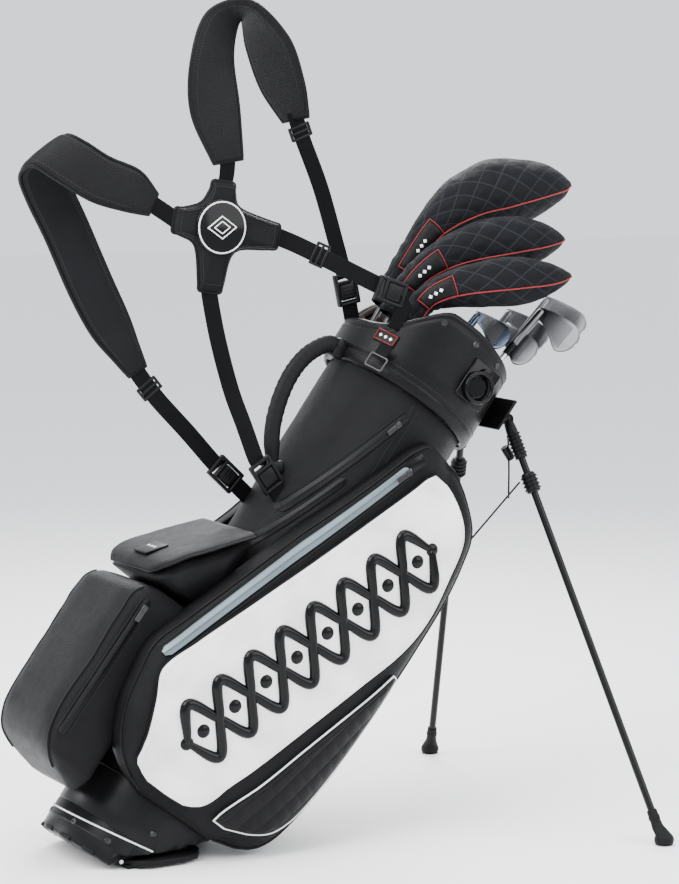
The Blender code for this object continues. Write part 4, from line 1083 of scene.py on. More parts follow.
    def zip_line(self, name: str, start: tuple[float, float], end: tuple[float, float],
                 surface: Callable[[float, float, float], Vector], width: float, tape: Finish, coil: Finish,
                 *nodes: str) -> None:
        """A zip: its tape with turned edges and its coil.

        Args:
            name: The pieces' common name.
            start: Where it starts, as X and Z in the bag's frame.
            end: Where it ends.
            surface: Gives the place over a surface for X, Z and the distance out.
            width: The tape's width.
            tape: The tape's finish.
            coil: The coil's finish.
            nodes: The frame's nodes that the tape replaces.
        """
        first, last = Vector((*start, 0.0)), Vector((*end, 0.0))
        run = (last - first).normalized()
        side = Vector((-run.y, run.x, 0.0))
        profile = ((-0.5, 0.0), (-0.5, 0.0022), (-0.42, 0.0028), (-0.12, 0.0026), (-0.06, 0.0034),
                   (0.0, 0.0022),
                   (0.06, 0.0034), (0.12, 0.0026), (0.42, 0.0028), (0.5, 0.0022), (0.5, 0.0))
        rows = []
        count = 60
        for i in range(count + 1):
            at = first.lerp(last, i / count)
            ends = min(1.0, (min(i, count - i) / count * (last - first).length + 0.0012) / 0.006) ** 0.5
            rows.append([surface(at.x + side.x * width * s * ends, at.y + side.y * width * s * ends, out)
                         for s, out in profile])
        self.dress(grid(f"{name}_tape", rows), tape, *nodes)
        line = [surface(first.lerp(last, i / count).x, first.lerp(last, i / count).y, 0.0026)
                for i in range(count + 1)]
        self.dress(cord(f"{name}_coil", line, 0.0011), coil)
        for shift in (-0.5, 0.5):
            seam = [surface(first.lerp(last, i / count).x
                            + side.x * (width * shift + 0.004 * (1 if shift > 0 else -1)),
                            first.lerp(last, i / count).y
                            + side.y * (width * shift + 0.004 * (1 if shift > 0 else -1)),
                            0.0010) for i in range(count + 1)]
            self.dress(stitches(f"{name}_stitches_{'low' if shift < 0 else 'high'}", seam, self.face_out),
                       BLACK_THREAD)

    def pull(self, name: str, spot: Vector, along: Vector, out: Vector, node: str, body: str) -> None:
        """A zip pull: its slider, its bail and its ribbed tab."""
        side = along.cross(out).normalized()
        axes = (side, out, along)
        pieces = [block(spot + along * 0.0085, axes, (0.0094, 0.0030, 0.0085), 0.0010),
                  block(spot - along * 0.004, axes, (0.0082, 0.0026, 0.0170), 0.0009)]
        for k in range(5):
            pieces.append(block(spot - along * (0.0095 - 0.0028 * k) + out * 0.0014, axes,
                                (0.0066, 0.0010, 0.0013), 0.0003))
        bail = [spot + along * 0.0085 + side * math.cos(t) * 0.0032 + along * math.sin(t) * 0.0040
                + out * 0.0016
                for t in (2 * math.pi * k / 20 for k in range(20))]
        self.dress(join(pieces, name), PULL_METAL, node, body=body)
        self.dress(cord(f"{name}_bail", bail, 0.0007, cyclic=True), PULL_METAL, body=body)

    def build_rain_zip(self) -> None:
        """The grey rain zip with its garage, and its pull."""
        low, high = (-0.192, 0.238), (-0.030, 0.656)
        self.zip_line("rain_zip", low, high, lambda x, z, out: self.face_point(x, z, self.lift + out), 0.0125,
                      ZIP_TAPE,
                      ZIP_COIL, "rain_zip")
        run = Vector((high[0] - low[0], high[1] - low[1])).normalized()
        top = self.face_point(high[0] + run.x * 0.012, high[1] + run.y * 0.012, 0.0036)
        along = tilt(run.x, 0.0, run.y)
        out = Vector((0.0, -1.0, 0.0))
        axes = (along.cross(out).normalized(), out, along)
        garage = [block(top, axes, (0.017, 0.0036, 0.030), 0.0014),
                  block(top + out * 0.0016, axes, (0.011, 0.002, 0.022), 0.0008)]
        self.dress(join(garage, "rain_zip_garage"), BADGE_GLOSS)
        spot = self.face_point(high[0] - 0.006, high[1] - 0.016, 0.0116)
        self.pull("rain_zip_puller", spot, along, out, "rain_zip_pull", "rain_pull")

    def build_upper_zips(self) -> None:
        """The two dark zips of the upper pockets on the tube, with the free pull."""
        def tube_at(x: float, z: float, out: float) -> Vector:
            """A place over the tube's near wall."""
            return tilt(x, -wall_at(x, z) - out, z)

        self.zip_line("upper_zip", (-0.128, 0.508), (-0.060, 0.722), tube_at, 0.0115, DARK_ZIP, DARK_ZIP)
        self.zip_line("lower_zip", (-0.135, 0.440), (-0.085, 0.595), tube_at, 0.0100, DARK_ZIP, DARK_ZIP)
        along = tilt(0.303, 0.0, 0.955).normalized()
        out = Vector((0.0, -1.0, 0.0))
        spot = tilt(-0.068, -wall_at(-0.068, 0.695) - 0.0045, 0.695)
        self.pull("upper_zip_puller", spot, along, out, "upper_zip_pull", "upper_pull")

    def build_ball_pocket(self) -> None:
        """The big rounded pocket on the strap side, with its piping and its side zips."""
        backs = ((0.020, -0.176), (0.030, -0.214), (0.045, -0.240), (0.070, -0.256), (0.100, -0.262),
                 (0.200, -0.265),
                 (0.270, -0.266), (0.292, -0.262), (0.306, -0.252), (0.312, -0.240))
        front, squareness = -0.150, 0.36
        foot, head = 0.020, 0.312

        def half_width(back: float) -> float:
            """Half of the pocket's width where its back wall stands at this depth."""
            return 0.094 * min(1.0, 0.72 + 0.28 * (-back - 0.170) / 0.07)

        rows = []
        count, turns = 60, 64
        for i in range(count + 1):
            z = foot + (head - foot) * i / count
            back = table_at(backs, z)[0]
            wide = half_width(back)
            middle, half = (front + back) / 2, (front - back) / 2
            end_soft = min(1.0, min(i, count - i) / 5) ** 0.5
            ring = []
            for k in range(turns):
                t = 2 * math.pi * k / turns
                c, s = math.cos(t), math.sin(t)
                x = middle + half * math.copysign(abs(c) ** squareness, c)
                y = wide * math.copysign(abs(s) ** squareness, s)
                wall = axis_x(z) - (BODY_A + 0.003) * math.sqrt(max(0.0, 1 - (y / 0.112) ** 2))
                fold = crease(Vector((x, y, z)), 0.07, 0.0022, 7.0) + crease(Vector((x, y, z)), 0.022, 0.0006,
                                                                             8.0)
                x = min(x - fold * (c < 0) * end_soft, wall)
                y += math.copysign(fold * 0.8, s) * (abs(s) > 0.5) * end_soft
                x = middle + (x - middle) * (0.86 + 0.14 * end_soft)
                y *= 0.90 + 0.10 * end_soft
                ring.append(tilt(x, y, z))
            rows.append(ring)
        for share in (0.7, 0.5):
            middle = sum(rows[-1], Vector()) / turns
            rows.append([middle + (point - middle) * share + tilt(0.0, 0.0, 0.0012) for point in rows[-1]])
        self.dress(grid("ball_pocket_cloth", rows, wrap=True, caps=True), BLACK_CLOTH, "ball_pocket")
        for side in (-1.0, 1.0):
            word = "near" if side < 0 else "far"
            corner = turns * 5 // 8 if side < 0 else turns * 3 // 8
            middle = tilt(-0.20, 0.0, 0.16)
            line = [row[corner] + (row[corner] - middle).normalized() * 0.0004 for row in rows[2:count - 1]]
            self.dress(cord(f"ball_piping_{word}", line, 0.0019), SIDE_CLOTH)

            def flank(x: float, z: float, out: float, side: float = side) -> Vector:
                """A place over the ball pocket's flank."""
                return tilt(x, side * (half_width(table_at(backs, z)[0]) + 0.0012 + out), z)

            self.zip_line(f"ball_zip_{word}", (-0.2375, 0.072), (-0.2375, 0.290), flank, 0.011, DARK_ZIP,
                          DARK_ZIP)
        spot = tilt(-0.2375, -0.1015, 0.268)
        self.pull("ball_zip_puller", spot, tilt(0.0, 0.0, 1.0), Vector((0.0, -1.0, 0.0)), "ball_zip_pull",
                  "ball_pull")

    def build_valuables(self) -> None:
        """The valuables pocket under its rounded flap, with the flap's tab and mark."""
        profile = ((-0.1475, 0.3205), (-0.2150, 0.3205), (-0.2355, 0.3215), (-0.2370, 0.3290),
                   (-0.2330, 0.3480),
                   (-0.2200, 0.3660), (-0.2000, 0.3860), (-0.1740, 0.4170), (-0.1475, 0.4480))
        rows = []
        for y in (-0.085, -0.084, -0.080, -0.070, -0.035, 0.0, 0.035, 0.070, 0.080, 0.084, 0.085):
            inset = 0.010 * max(0.0, (abs(y) - 0.076) / 0.009) ** 2
            rows.append([tilt(x + inset * (x < -0.16), y, z + inset * (1 if z < 0.33 else -1)) for x,
                         z in profile])
        self.dress(grid("valuables_cloth", rows, wrap=True, caps=True), BLACK_CLOTH, "valuables_pocket")
        slope = [(-0.1480, 0.4515), (-0.1750, 0.4220), (-0.2000, 0.3930), (-0.2210, 0.3690),
                 (-0.2380, 0.3440),
                 (-0.2435, 0.3255)]
        line = smooth_path([(x, 0.0, z) for x, z in slope], 6)
        rows = []
        count = len(line)
        for i, point in enumerate(line):
            share = i / (count - 1)
            half = 0.0955 - 0.030 * max(0.0, (share - 0.62) / 0.38) ** 2.2 - 0.004 * (1 - share) ** 3
            along = (line[min(i + 1, count - 1)] - line[max(i - 1, 0)]).normalized()
            out = Vector((along.z, 0.0, -along.x))
            if out.x > 0:
                out = -out
            row = []
            for k in range(33):
                y = half * (k / 16 - 1)
                rim = min(half - abs(y), (1 - share) * 0.15)
                puff = 0.0042 * min(1.0, max(0.0, rim) / 0.010) ** 0.5 + 0.0012 + crease(Vector((point.x, y,
                                                                                                 point.z)),
                                                                                         0.04, 0.0008)
                spot = point + out * puff
                row.append(tilt(spot.x, y, spot.z))
            rows.append(row)
        flap = grid("flap_cloth", rows)
        thick = flap.modifiers.new("thick", "SOLIDIFY")
        thick.thickness = 0.0022
        thick.offset = 0.0
        self.dress(flap, BLACK_CLOTH, "valuables_flap", body="pocket_flap")
        hem = [row[0] for row in rows] + rows[-1][1:-1] + [row[-1] for row in reversed(rows)]
        self.dress(cord("flap_hem", hem, 0.0018), SIDE_CLOTH, body="pocket_flap")
        inset = [row[3] for row in rows[:-3]] + rows[-4][4:-4] + [row[-4] for row in reversed(rows[:-3])]
        up = tilt(-0.75, 0.0, 0.66)
        self.dress(stitches("flap_stitches", inset, lambda _: up), BLACK_THREAD, body="pocket_flap")
        centre = rows[18][16]
        run = (rows[22][16] - rows[14][16]).normalized()
        side = Vector((0.0, 1.0, 0.0))
        out = side.cross(run)
        if out.z < 0:
            out = -out
        tab = [block(centre + out * 0.0020 + run * 0.012, (side, run, out), (0.044, 0.036, 0.0032), 0.0014)]
        self.dress(join(tab, "flap_tab"), SIDE_CLOTH, body="pocket_flap")
        marks = [block(centre + out * 0.0040 + run * 0.010 + side * x, ((side + run).normalized(),
                 (run - side).normalized(), out), (0.0042, 0.0042, 0.0008), 0.0003)
                 for x in (-0.010, 0.0, 0.010)]
        self.dress(join(marks, "flap_marks"), WHITE_TRIM, body="pocket_flap")


@dataclass
class Fittings(SubAssembly):
    """The grab handle, the towel ring with its plate, and the accessory ring."""

    handle_radius: float = 0.011
    ring_radius: float = 0.0215

    def build(self) -> None:
        """Makes the fittings."""
        spots = [tilt(*p) for p in ((-0.1630, -0.012, 0.757), (-0.185, -0.014, 0.752),
                                    (-0.205, -0.016, 0.715),
                                    (-0.207, -0.018, 0.665), (-0.188, -0.020, 0.605),
                                    (-0.1495, -0.022, 0.552))]
        line = smooth_path(spots, 16)
        rows = []
        for i, point in enumerate(line):
            along = line[min(i + 1, len(line) - 1)] - line[max(i - 1, 0)]
            side, deep, _ = frame_of(along)
            share = i / (len(line) - 1)
            ends = min(1.0, 0.62 + min(share, 1 - share) * 3.2)
            rib = 0.0007 * max(0.0, math.sin(share * 150)) * (0.2 < share < 0.8)
            rows.append([point + (side * math.cos(t) * 1.12
                                  + deep * math.sin(t) * 0.86) * (self.handle_radius * ends + rib)
                         for t in (2 * math.pi * k / 24 for k in range(24))])
        self.dress(grid("handle_grip", rows, wrap=True, caps=True), GRIP_RUBBER, "grab_handle")
        mounts = []
        for spot, run in ((line[2], line[6] - line[0]), (line[-3], line[-1] - line[-7])):
            side, deep, along = frame_of(run)
            mounts.append(block(spot, (side, deep, along), (0.030, 0.020, 0.018), 0.004))
        self.dress(join(mounts, "handle_mounts"), MOULDING)

        y = -CUFF_B - 0.0095
        ring = []
        for i in range(48):
            t = 2 * math.pi * i / 48
            ring.append(tilt(self.ring_radius * math.sin(t), y,
                             0.837 - self.ring_radius - self.ring_radius * math.cos(t)))
        self.dress(cord("towel_ring_bar", ring, 0.0030, cyclic=True), BADGE_GLOSS, "towel_ring",
                   body="towel_loop")
        side, up, out = tilt(1.0, 0.0, 0.0), tilt(0.0, 0.0, 1.0), Vector((0.0, -1.0, 0.0))
        centre = tilt(0.0, -CUFF_B, 0.820)
        pieces = [block(centre, (side, up, out), (0.050, 0.062, 0.0050), 0.0020),
                  block(tilt(0.0, y + 0.0040, 0.8395), (side, up, out), (0.016, 0.009, 0.0125), 0.0020),
                  lathe("boss", tilt(0.0, -CUFF_B - 0.001, 0.8150), out,
                        ((0.0, 0.0150), (0.0022, 0.0150), (0.0030, 0.0140), (0.0030, 0.0)), 40)]
        self.dress(join(pieces, "towel_ring_plate"), BADGE_GLOSS)

        spot = Vector((-0.1420, -0.0905, 0.768))
        across = Vector((0.60, -0.80, 0.0))
        corners = [spot + across * u * 0.014 + Vector((0, 0, w)) for u, w in
                   ((-1, -0.002), (-0.9, 0.0), (0.9, 0.0), (1, -0.002), (1, -0.018), (0.9, -0.020),
                    (-0.9, -0.020),
                    (-1, -0.018))]
        self.dress(cord("accessory_ring_bar", [tilt(*c) for c in corners], 0.0016, cyclic=True), PULL_METAL,
                   "accessory_ring", body="accessory_loop")
        side, up = tilt(*across), tilt(0.0, 0.0, 1.0)
        loop = block(tilt(*spot) + up * 0.007, (side, up, side.cross(up)), (0.020, 0.022, 0.0028), 0.0008)
        self.dress(join([loop], "accessory_strap"), WEBBING)


@dataclass
class Stand(SubAssembly):
    """The two folding legs with their collars, wires and feet, and the bracket that they turn on."""

    pivot: tuple[float, float, float] = (0.105, 0.063, 0.824)
    tube_radius: float = 0.0055
    collar_at: float = 0.100
    foot: tuple[float, float] = (0.685, 0.336)

    def line_of(self, side: float) -> tuple[Vector, Vector, float]:
        """One leg's pivot, its direction and its length."""
        start = tilt(self.pivot[0], side * self.pivot[1], self.pivot[2])
        end = Vector((self.foot[0], side * self.foot[1], 0.0))
        return start, (end - start).normalized(), (end - start).length

    def build(self) -> None:
        """Makes the bracket, both legs, the elastic cord and its lock."""
        axes = (tilt(1.0, 0.0, 0.0), Vector((0.0, 1.0, 0.0)), tilt(0.0, 0.0, 1.0))
        pieces = [block(tilt(0.0903, 0.0, 0.824), axes, (0.005, 0.164, 0.052), 0.0018),
                  block(tilt(0.1025, -0.008, 0.834), axes, (0.022, 0.058, 0.012), 0.003)]
        for side in (-1.0, 1.0):
            start, along, _ = self.line_of(side)
            pieces.append(lathe("pin", start - self.hinge_axis(side) * 0.025, self.hinge_axis(side),
                                ((0.0, 0.0), (0.0, 0.0034), (0.0335, 0.0034), (0.0345, 0.0058),
                                 (0.0375, 0.0054),
                                 (0.038, 0.0)), 20))
        for y in (-0.020, 0.020):
            for z in (0.806, 0.844):
                pieces.append(lathe("screw", tilt(0.0924, y, z), axes[0],
                                    ((0.0, 0.0044), (0.0016, 0.0044), (0.0024, 0.0034), (0.0024, 0.002),
                                     (0.0014, 0.0016),
                                     (0.0014, 0.0)), 18))
        self.dress(join(pieces, "leg_bracket_moulding"), MOULDING, "leg_bracket")
        for name, side in (("near", -1.0), ("far", 1.0)):
            self.build_leg(name, side)
        self.build_cord()

    def hinge_axis(self, side: float) -> Vector:
        """The line that one leg turns about."""
        _, along, _ = self.line_of(side)
        folded = tilt(0.042, -side * 0.018, -0.659).normalized()
        axis = along.cross(folded).normalized()
        return axis if (axis.x * math.cos(LEAN) - axis.z * math.sin(LEAN)) > 0 else -axis

    def build_leg(self, name: str, side: float) -> None:
        """One leg: elbow, tube, collar, foot and push wire."""
        start, along, length = self.line_of(side)
        body = f"{name}_leg"
        axis = self.hinge_axis(side)
        profile = [(0.004, 0.0), (0.004, 0.0070), (0.012, 0.0082), (0.020, 0.0088)]
        for k in range(6):
            at = 0.022 + 0.006 * k
            profile += [(at, 0.0086), (at + 0.001, 0.0104), (at + 0.0034, 0.0104), (at + 0.0044, 0.0086)]
        profile += [(0.059, 0.0094), (0.0615, 0.0088), (0.062, 0.0056)]
        elbow = [lathe("arm", start, along, profile, 28),
                 lathe("eye", start - axis * 0.006, axis,
                       ((0.0, 0.004), (0.0, 0.0085), (0.001, 0.009), (0.011, 0.009),
                                                          (0.012, 0.0085), (0.012, 0.004)), 28)]
        self.dress(join(elbow, f"{name}_elbow_moulding"), MOULDING, f"{name}_leg_elbow", body=body)
        tube = lathe(f"{name}_tube", start, along,
                     ((0.042, self.tube_radius), (length - 0.020, self.tube_radius)), 32)
        tube.data.set_sharp_from_angle(angle=math.radians(50))
        self.dress(tube, LEG_GLOSS, f"{name}_leg_tube", body=body)
        collar = [(-0.016, 0.0057), (-0.015, 0.0090), (-0.0130, 0.0104)]
        for k in range(4):
            at = -0.0105 + 0.0062 * k
            collar += [(at, 0.0104), (at + 0.0008, 0.0125), (at + 0.0030, 0.0125), (at + 0.0038, 0.0104)]
        collar += [(0.0138, 0.0104), (0.0150, 0.0092), (0.0156, 0.0057)]
        ring = lathe(f"{name}_collar", start + along * self.collar_at, along, collar, 32)
        self.dress(join([ring], f"{name}_collar"), MOULDING, body=body)

        side_way, deep, _ = frame_of(along)
        rows = []
        for at, radius in ((length - 0.052, 0.0056), (length - 0.052, 0.0070), (length - 0.050, 0.0076),
                           (length - 0.044, 0.0076), (length - 0.042, 0.0084), (length - 0.038, 0.0084),
                           (length - 0.036, 0.0076), (length - 0.026, 0.0086)):
            rows.append([start + along * at + (side_way * math.cos(t) + deep * math.sin(t)) * radius
                         for t in (2 * math.pi * k / 32 for k in range(32))])
        foot = Vector((self.foot[0], side * self.foot[1], 0.0))
        for z, radius in ((0.0125, 0.0128), (0.009, 0.0142), (0.004, 0.0142), (0.0030, 0.0132),
                          (0.0004, 0.0130)):
            ring_points = []
            for k in range(32):
                t = 2 * math.pi * k / 32
                spoke = side_way * math.cos(t) + deep * math.sin(t)
                flat = Vector((spoke.x, spoke.y, 0.0)).normalized()
                ring_points.append(foot + flat * radius + Vector((0.0, 0.0, z)))
            rows.append(ring_points)
        boot = grid(f"{name}_foot_boot", rows, wrap=True, caps=True)
        boot.data.set_sharp_from_angle(angle=math.radians(40))
        self.dress(boot, GRIP_RUBBER, f"{name}_leg_foot", body=body)

        centre = start + along * self.collar_at
        top = centre + tilt(-0.0128, -side * 0.0060, -0.0085)
        low = tilt(0.1045, side * 0.040, 0.2000)
        self.dress(cord(f"{name}_wire", [top, low], 0.0015), LEG_GLOSS, f"{name}_push_wire",
                   body=f"{name}_wire")

    def build_cord(self) -> None:
        """The elastic cord from the bracket to the near collar, and its lock."""
        start, along, _ = self.line_of(-1.0)
        top = tilt(0.1208, -0.0400, 0.8256)
        low = start + along * self.collar_at + tilt(-0.0100, 0.0130, -0.0360)
        line = [top, top.lerp(low, 0.5) + tilt(0.0020, 0.0, 0.0), low]
        path = smooth_path(line, 10)
        length = sum((b - a).length for a, b in zip(path, path[1:]))
        piece = self.dress(cord("elastic_cord", path, 0.0014), WEBBING, "pull_cord", body="near_leg")
        spot = top + (low - top) * 0.40
        run = tilt(1.0, 0.0, -0.35).normalized()
        profile = ((-0.011, 0.0), (-0.011, 0.0055), (-0.0100, 0.0065), (0.002, 0.0065), (0.003, 0.0056),
                   (0.004, 0.0056),
                   (0.0045, 0.0062), (0.0100, 0.0062), (0.011, 0.0050), (0.0112, 0.0))
        lock = lathe("lock", spot, run, profile, 28)
        self.dress(join([lock], "cord_lock_barrel"), MOULDING, "cord_lock", body="lock")


@dataclass
class Harness(SubAssembly):
    """The double shoulder strap: two pads, the hub pad between them, the webbing and its buckles."""

    pad_thickness: float = 0.016
    web_half: float = 0.0125
    web_thickness: float = 0.0022

    def strip(self, name: str, stations: Sequence[tuple[Sequence[float], Sequence[float]]], thickness: float,
              power: float, least: float = 0.30, steps: int = 10,
              puff: float = 0.0) -> tuple[bpy.types.Object, list[list[Vector]]]:
        """A strap or a pad lofted through stations of a centre and a half width.

        Args:
            name: The piece's name.
            stations: The centres and the vectors from them to the strap's edge.
            thickness: Its thickness at the middle.
            power: How flat its crown is.
            least: How much of the thickness its edges keep.
            steps: Rows between stations.
            puff: Height of the cloth's soft folds.

        Returns:
            The piece, and for each row its left edge, its right edge, its centre and its way out.
        """
        centres = smooth_path([c for c, _ in stations], steps)
        halves = smooth_path([h for _, h in stations], steps)
        rows, guide = [], []
        wide = 20
        for i, (centre, half) in enumerate(zip(centres, halves)):
            along = (centres[min(i + 1, len(centres) - 1)] - centres[max(i - 1, 0)]).normalized()
            out = half.cross(along).normalized()
            share = min(i, len(centres) - 1 - i) / (1.2 * steps)
            body = thickness * (0.45 + 0.55 * min(1.0, share) ** 0.6) if puff else thickness
            ring = []
            for k in range(2 * wide):
                u = k / wide * 2 - 1 if k < wide else 3 - 2 * k / wide
                face = 1.0 if k < wide else -1.0
                rise = least + (1 - least) * math.sqrt(max(0.0, 1 - abs(u) ** power))
                fold = crease(centre + half * u, 0.05, puff, face) if puff else 0.0
                ring.append(centre + half * u + out * face * (body * 0.5 * rise + fold * (1 - u * u)))
            rows.append(ring)
            guide.append([centre - half, centre + half, centre, out])
        return grid(name, rows, wrap=True, caps=True), guide

    def web(self, name: str, spots: Sequence[Sequence[float]], across: Sequence[float], *nodes: str) -> None:
        """A length of ribbed webbing."""
        half = Vector(across).normalized() * self.web_half
        piece, _ = self.strip(name, [(spot, half) for spot in spots], self.web_thickness, 10.0, 0.5)
        self.dress(piece, WEBBING, *nodes)

    def build(self) -> None:
        """Makes every piece of the harness."""
        self.build_pads()
        self.build_hub()
        self.build_webs()

    def build_pads(self) -> None:
        """The two crowned shoulder pads with bound edges."""
        near = (((.043, 0, .914), (-.007, 0, -.014)), ((.008, -.004, .934), (-.013, 0, -.026)),
                ((-.040, -.007, .951), (-.014, 0, -.0285)), ((-.080, -.003, .975), (-.021, 0, -.025)),
                ((-.106, .012, .990), (-.0255, 0, -.0205)), ((-.112, .036, .972), (-.0285, 0, -.0175)),
                ((-.092, .056, .935), (-.029, 0, -.0157)), ((-.060, .066, .878), (-.0295, 0, -.0137)),
                ((-.024, .068, .800), (-.0295, 0, -.0137)), ((.004, .064, .743), (-.027, 0, -.013)),
                ((.026, .056, .702), (-.018, 0, -.010)), ((.040, .050, .676), (-.0125, 0, -.007)))
        far = (((.160, 0, .972), (.022, 0, .003)), ((.140, 0, 1.045), (.038, .004, .004)),
               ((.138, .004, 1.115), (.040, .018, 0)), ((.160, .016, 1.170), (.034, .026, -.010)),
               ((.206, .034, 1.184), (.012, .036, -.012)), ((.246, .048, 1.140), (-.014, .035, -.008)),
               ((.272, .052, 1.080), (-.018, .030, -.006)), ((.294, .052, 1.030), (-.012, .016, -.004)))
        for name, stations in (("near", near), ("far", far)):
            piece, guide = self.strip(f"{name}_pad", stations, self.pad_thickness, 3.0, 0.34, 12, 0.0008)
            self.dress(piece, PAD_MESH, f"{name}_shoulder_pad", inside=PAD_INSIDE)
            for index, face in enumerate(piece.data.polygons):
                if (index % 40 >= 20) == (name == "far"):
                    face.material_index = 1
            left = [row[0] for row in guide]
            right = [row[1] for row in guide]
            self.dress(cord(f"{name}_pad_binding", left + right[::-1], 0.0030, cyclic=True), PAD_TRIM)
            for word, sign in (("outer", 1.0), ("inner", -1.0)):
                for edge in (0, 1):
                    path = [row[edge].lerp(row[2], 0.20) + row[3] * sign * self.pad_thickness * 0.40
                            for row in guide[9:-9]]
                    tag = "left" if edge == 0 else "right"
                    way = guide[len(guide) // 2][3] * sign
                    self.dress(stitches(f"{name}_pad_stitches_{word}_{tag}", path, lambda _, way=way: way,
                                        0.0046, 0.0032, 0.0004), BLACK_THREAD)

    def build_hub(self) -> None:
        """The four-armed pad with its round emblem."""
        centre = Vector((0.143, 0.0, 0.880))
        arms = [Vector(p) for p in ((.239, 0, .864), (.153, 0, .944), (.0745, 0, .892), (.1295, 0, .789))]
        corners = []
        for i, arm in enumerate(arms):
            run = (arm - centre).normalized()
            side = Vector((-run.z, 0.0, run.x))
            nxt = (arms[(i + 1) % 4] - centre).normalized()
            waist = centre + (run + nxt).normalized() * 0.043
            corners += [arm - side * 0.019 - run * 0.014, arm - side * 0.017 - run * 0.002,
                        arm - side * 0.008,
                        arm + side * 0.008, arm + side * 0.017 - run * 0.002,
                        arm + side * 0.019 - run * 0.014, waist]
        closed = smooth_path(corners + corners[:1], 5)[:-1]
        rows = []
        for share, y in ((0.05, 0.0100), (0.35, 0.0100), (0.65, 0.0097), (0.84, 0.0090), (0.93, 0.0076),
                         (0.98, 0.0052),
                         (1.0, 0.0030), (1.0, -0.0030), (0.98, -0.0052), (0.93, -0.0076), (0.84, -0.0090),
                         (0.65, -0.0097), (0.35, -0.0100), (0.05, -0.0100)):
            rows.append([centre + (point - centre) * share + Vector((0.0, y, 0.0)) for point in closed])
        hub = self.dress(grid("hub_pad", rows, wrap=True, caps=True), BLACK_CLOTH, "strap_hub")
        self.dress(cord("hub_binding", [centre + (p - centre) * 1.004 for p in closed], 0.0026, cyclic=True),
                   PAD_TRIM)
        inset = [centre + (p - centre) * 0.88 + Vector((0.0, -0.0094, 0.0)) for p in closed + closed[:1]]
        self.dress(stitches("hub_stitches", inset, lambda _: Vector((0.0, -1.0, 0.0))), BLACK_THREAD)
        spot = Vector((0.144, -0.0098, 0.880))
        disc = lathe("disc", spot, Vector((0.0, -1.0, 0.0)),
                     ((0.0, 0.0395), (0.0016, 0.0395), (0.0026, 0.0385), (0.0030, 0.036), (0.0034, 0.0)), 56)
        self.dress(join([disc], "hub_emblem"), BADGE_GLOSS)
        ring = [spot + Vector((0.0361 * math.cos(t), -0.0032, 0.0361 * math.sin(t)))
                for t in (2 * math.pi * k / 72 for k in range(72))]
        self.dress(cord("hub_emblem_ring", ring, 0.0011, cyclic=True), WHITE_TRIM)
        marks = []
        for reach, width in ((0.022, 0.0022), (0.012, 0.0018)):
            tips = [spot + Vector((reach * math.cos(t), -0.0036, reach * 0.72 * math.sin(t)))
                    for t in (math.pi / 2 * k for k in range(4))]
            for a, b in zip(tips, tips[1:] + tips[:1]):
                run = b - a
                side, deep, along = frame_of(run)
                marks.append(block((a + b) / 2, (side, deep, along),
                                   (0.0014, width, run.length + width * 0.6), 0.0004))
        self.dress(join(marks, "hub_emblem_marks"), WHITE_TRIM)

    def build_webs(self) -> None:
        """The webbing, the sliders on it and the buckles that hold it to the bag."""
        self.web("near_top_strap", ((.228, .000, .868), (.2435, -.002, .862), (.268, -.015, .850),
                                    (.312, -.045, .824), (.352, -.068, .801),
                                    (.366, -.072, .794)), (.38, 0, .92), "near_top_web")
        self.web("near_low_strap", ((.1295, 0, .800), (.130, 0, .7835), (.140, -.006, .720),
                                    (.157, -.012, .650), (.172, -.022, .600),
                                    (.1835, -.036, .5535), (.189, -.040, .543)), (1, 0, .2), "near_low_web")
        self.web("far_low_strap", ((.033, .053, .687), (.044, .048, .668), (.068, .042, .635),
                                   (.112, .036, .586), (.148, .032, .544),
                                   (.158, .031, .535)), (.8, 0, .6), "far_low_web")
        self.web("far_top_strap", ((.292, .052, 1.040), (.2965, .052, 1.026), (.307, .052, .998),
                                   (.335, .052, .930), (.360, .052, .850),
                                   (.3705, .050, .810), (.373, .050, .798)), (.97, 0, .25), "far_top_web")
        self.web("hub_to_far_pad", ((.154, 0, .936), (.158, 0, .955), (.160, 0, .982)), (1, 0, .12))
        self.web("hub_to_near_pad", ((.082, 0, .889), (.062, 0, .902), (.036, -.001, .918)), (.45, 0, .89))
        self.web("near_top_anchor", ((.397, -.075, .780), (.4017, -.077, .7633), (.3847, -.078, .7321)),
                 (.93, 0, -.34))
        for name, spot, along, across in (
                ("near_top", (.381, -.075, .786), (.93, 0, -.34), (.38, 0, .92)),
                ("near_low", (.1968, -.044, .5295), (.52, 0, -.80), (1, 0, .2)),
                ("far_low", (.168, .030, .524), (.72, 0, -.69), (.8, 0, .6)),
                ("far_top", (.3765, .050, .7825), (.20, 0, -.98), (.97, 0, .25))):
            run, half = Vector(along).normalized(), Vector(across).normalized()
            self.buckle(name, Vector(spot), run, half)
            if name != "near_top":
                half = half - run * half.dot(run)
                self.web(f"{name}_anchor", [Vector(spot) + run * reach for reach in (0.017, 0.034, 0.052)],
                         half)
        for name, spot, along, across in (
                ("near_top_slider", (.290, -.0300, .8385), (.80, -.52, -.42), (.38, 0, .92)),
                ("far_low_slider", (.056, .0450, .6515), (.62, -.12, -.80), (.8, 0, .6)),
                ("far_top_slider", (.3015, .0520, 1.012), (.35, 0, -.94), (.97, 0, .25))):
            run, half = Vector(along).normalized(), Vector(across)
            half = (half - run * half.dot(run)).normalized()
            out = half.cross(run)
            bars = [block(Vector(spot) + run * at, (half, run, out), (0.032, 0.0042, 0.0052), 0.0014)
                    for at in (-0.0085, 0.0, 0.0085)]
            bars += [block(Vector(spot) + half * at, (half, run, out), (0.0036, 0.0210, 0.0058), 0.0014)
                     for at in (-0.0155, 0.0155)]
            self.dress(join(bars, name), MOULDING)

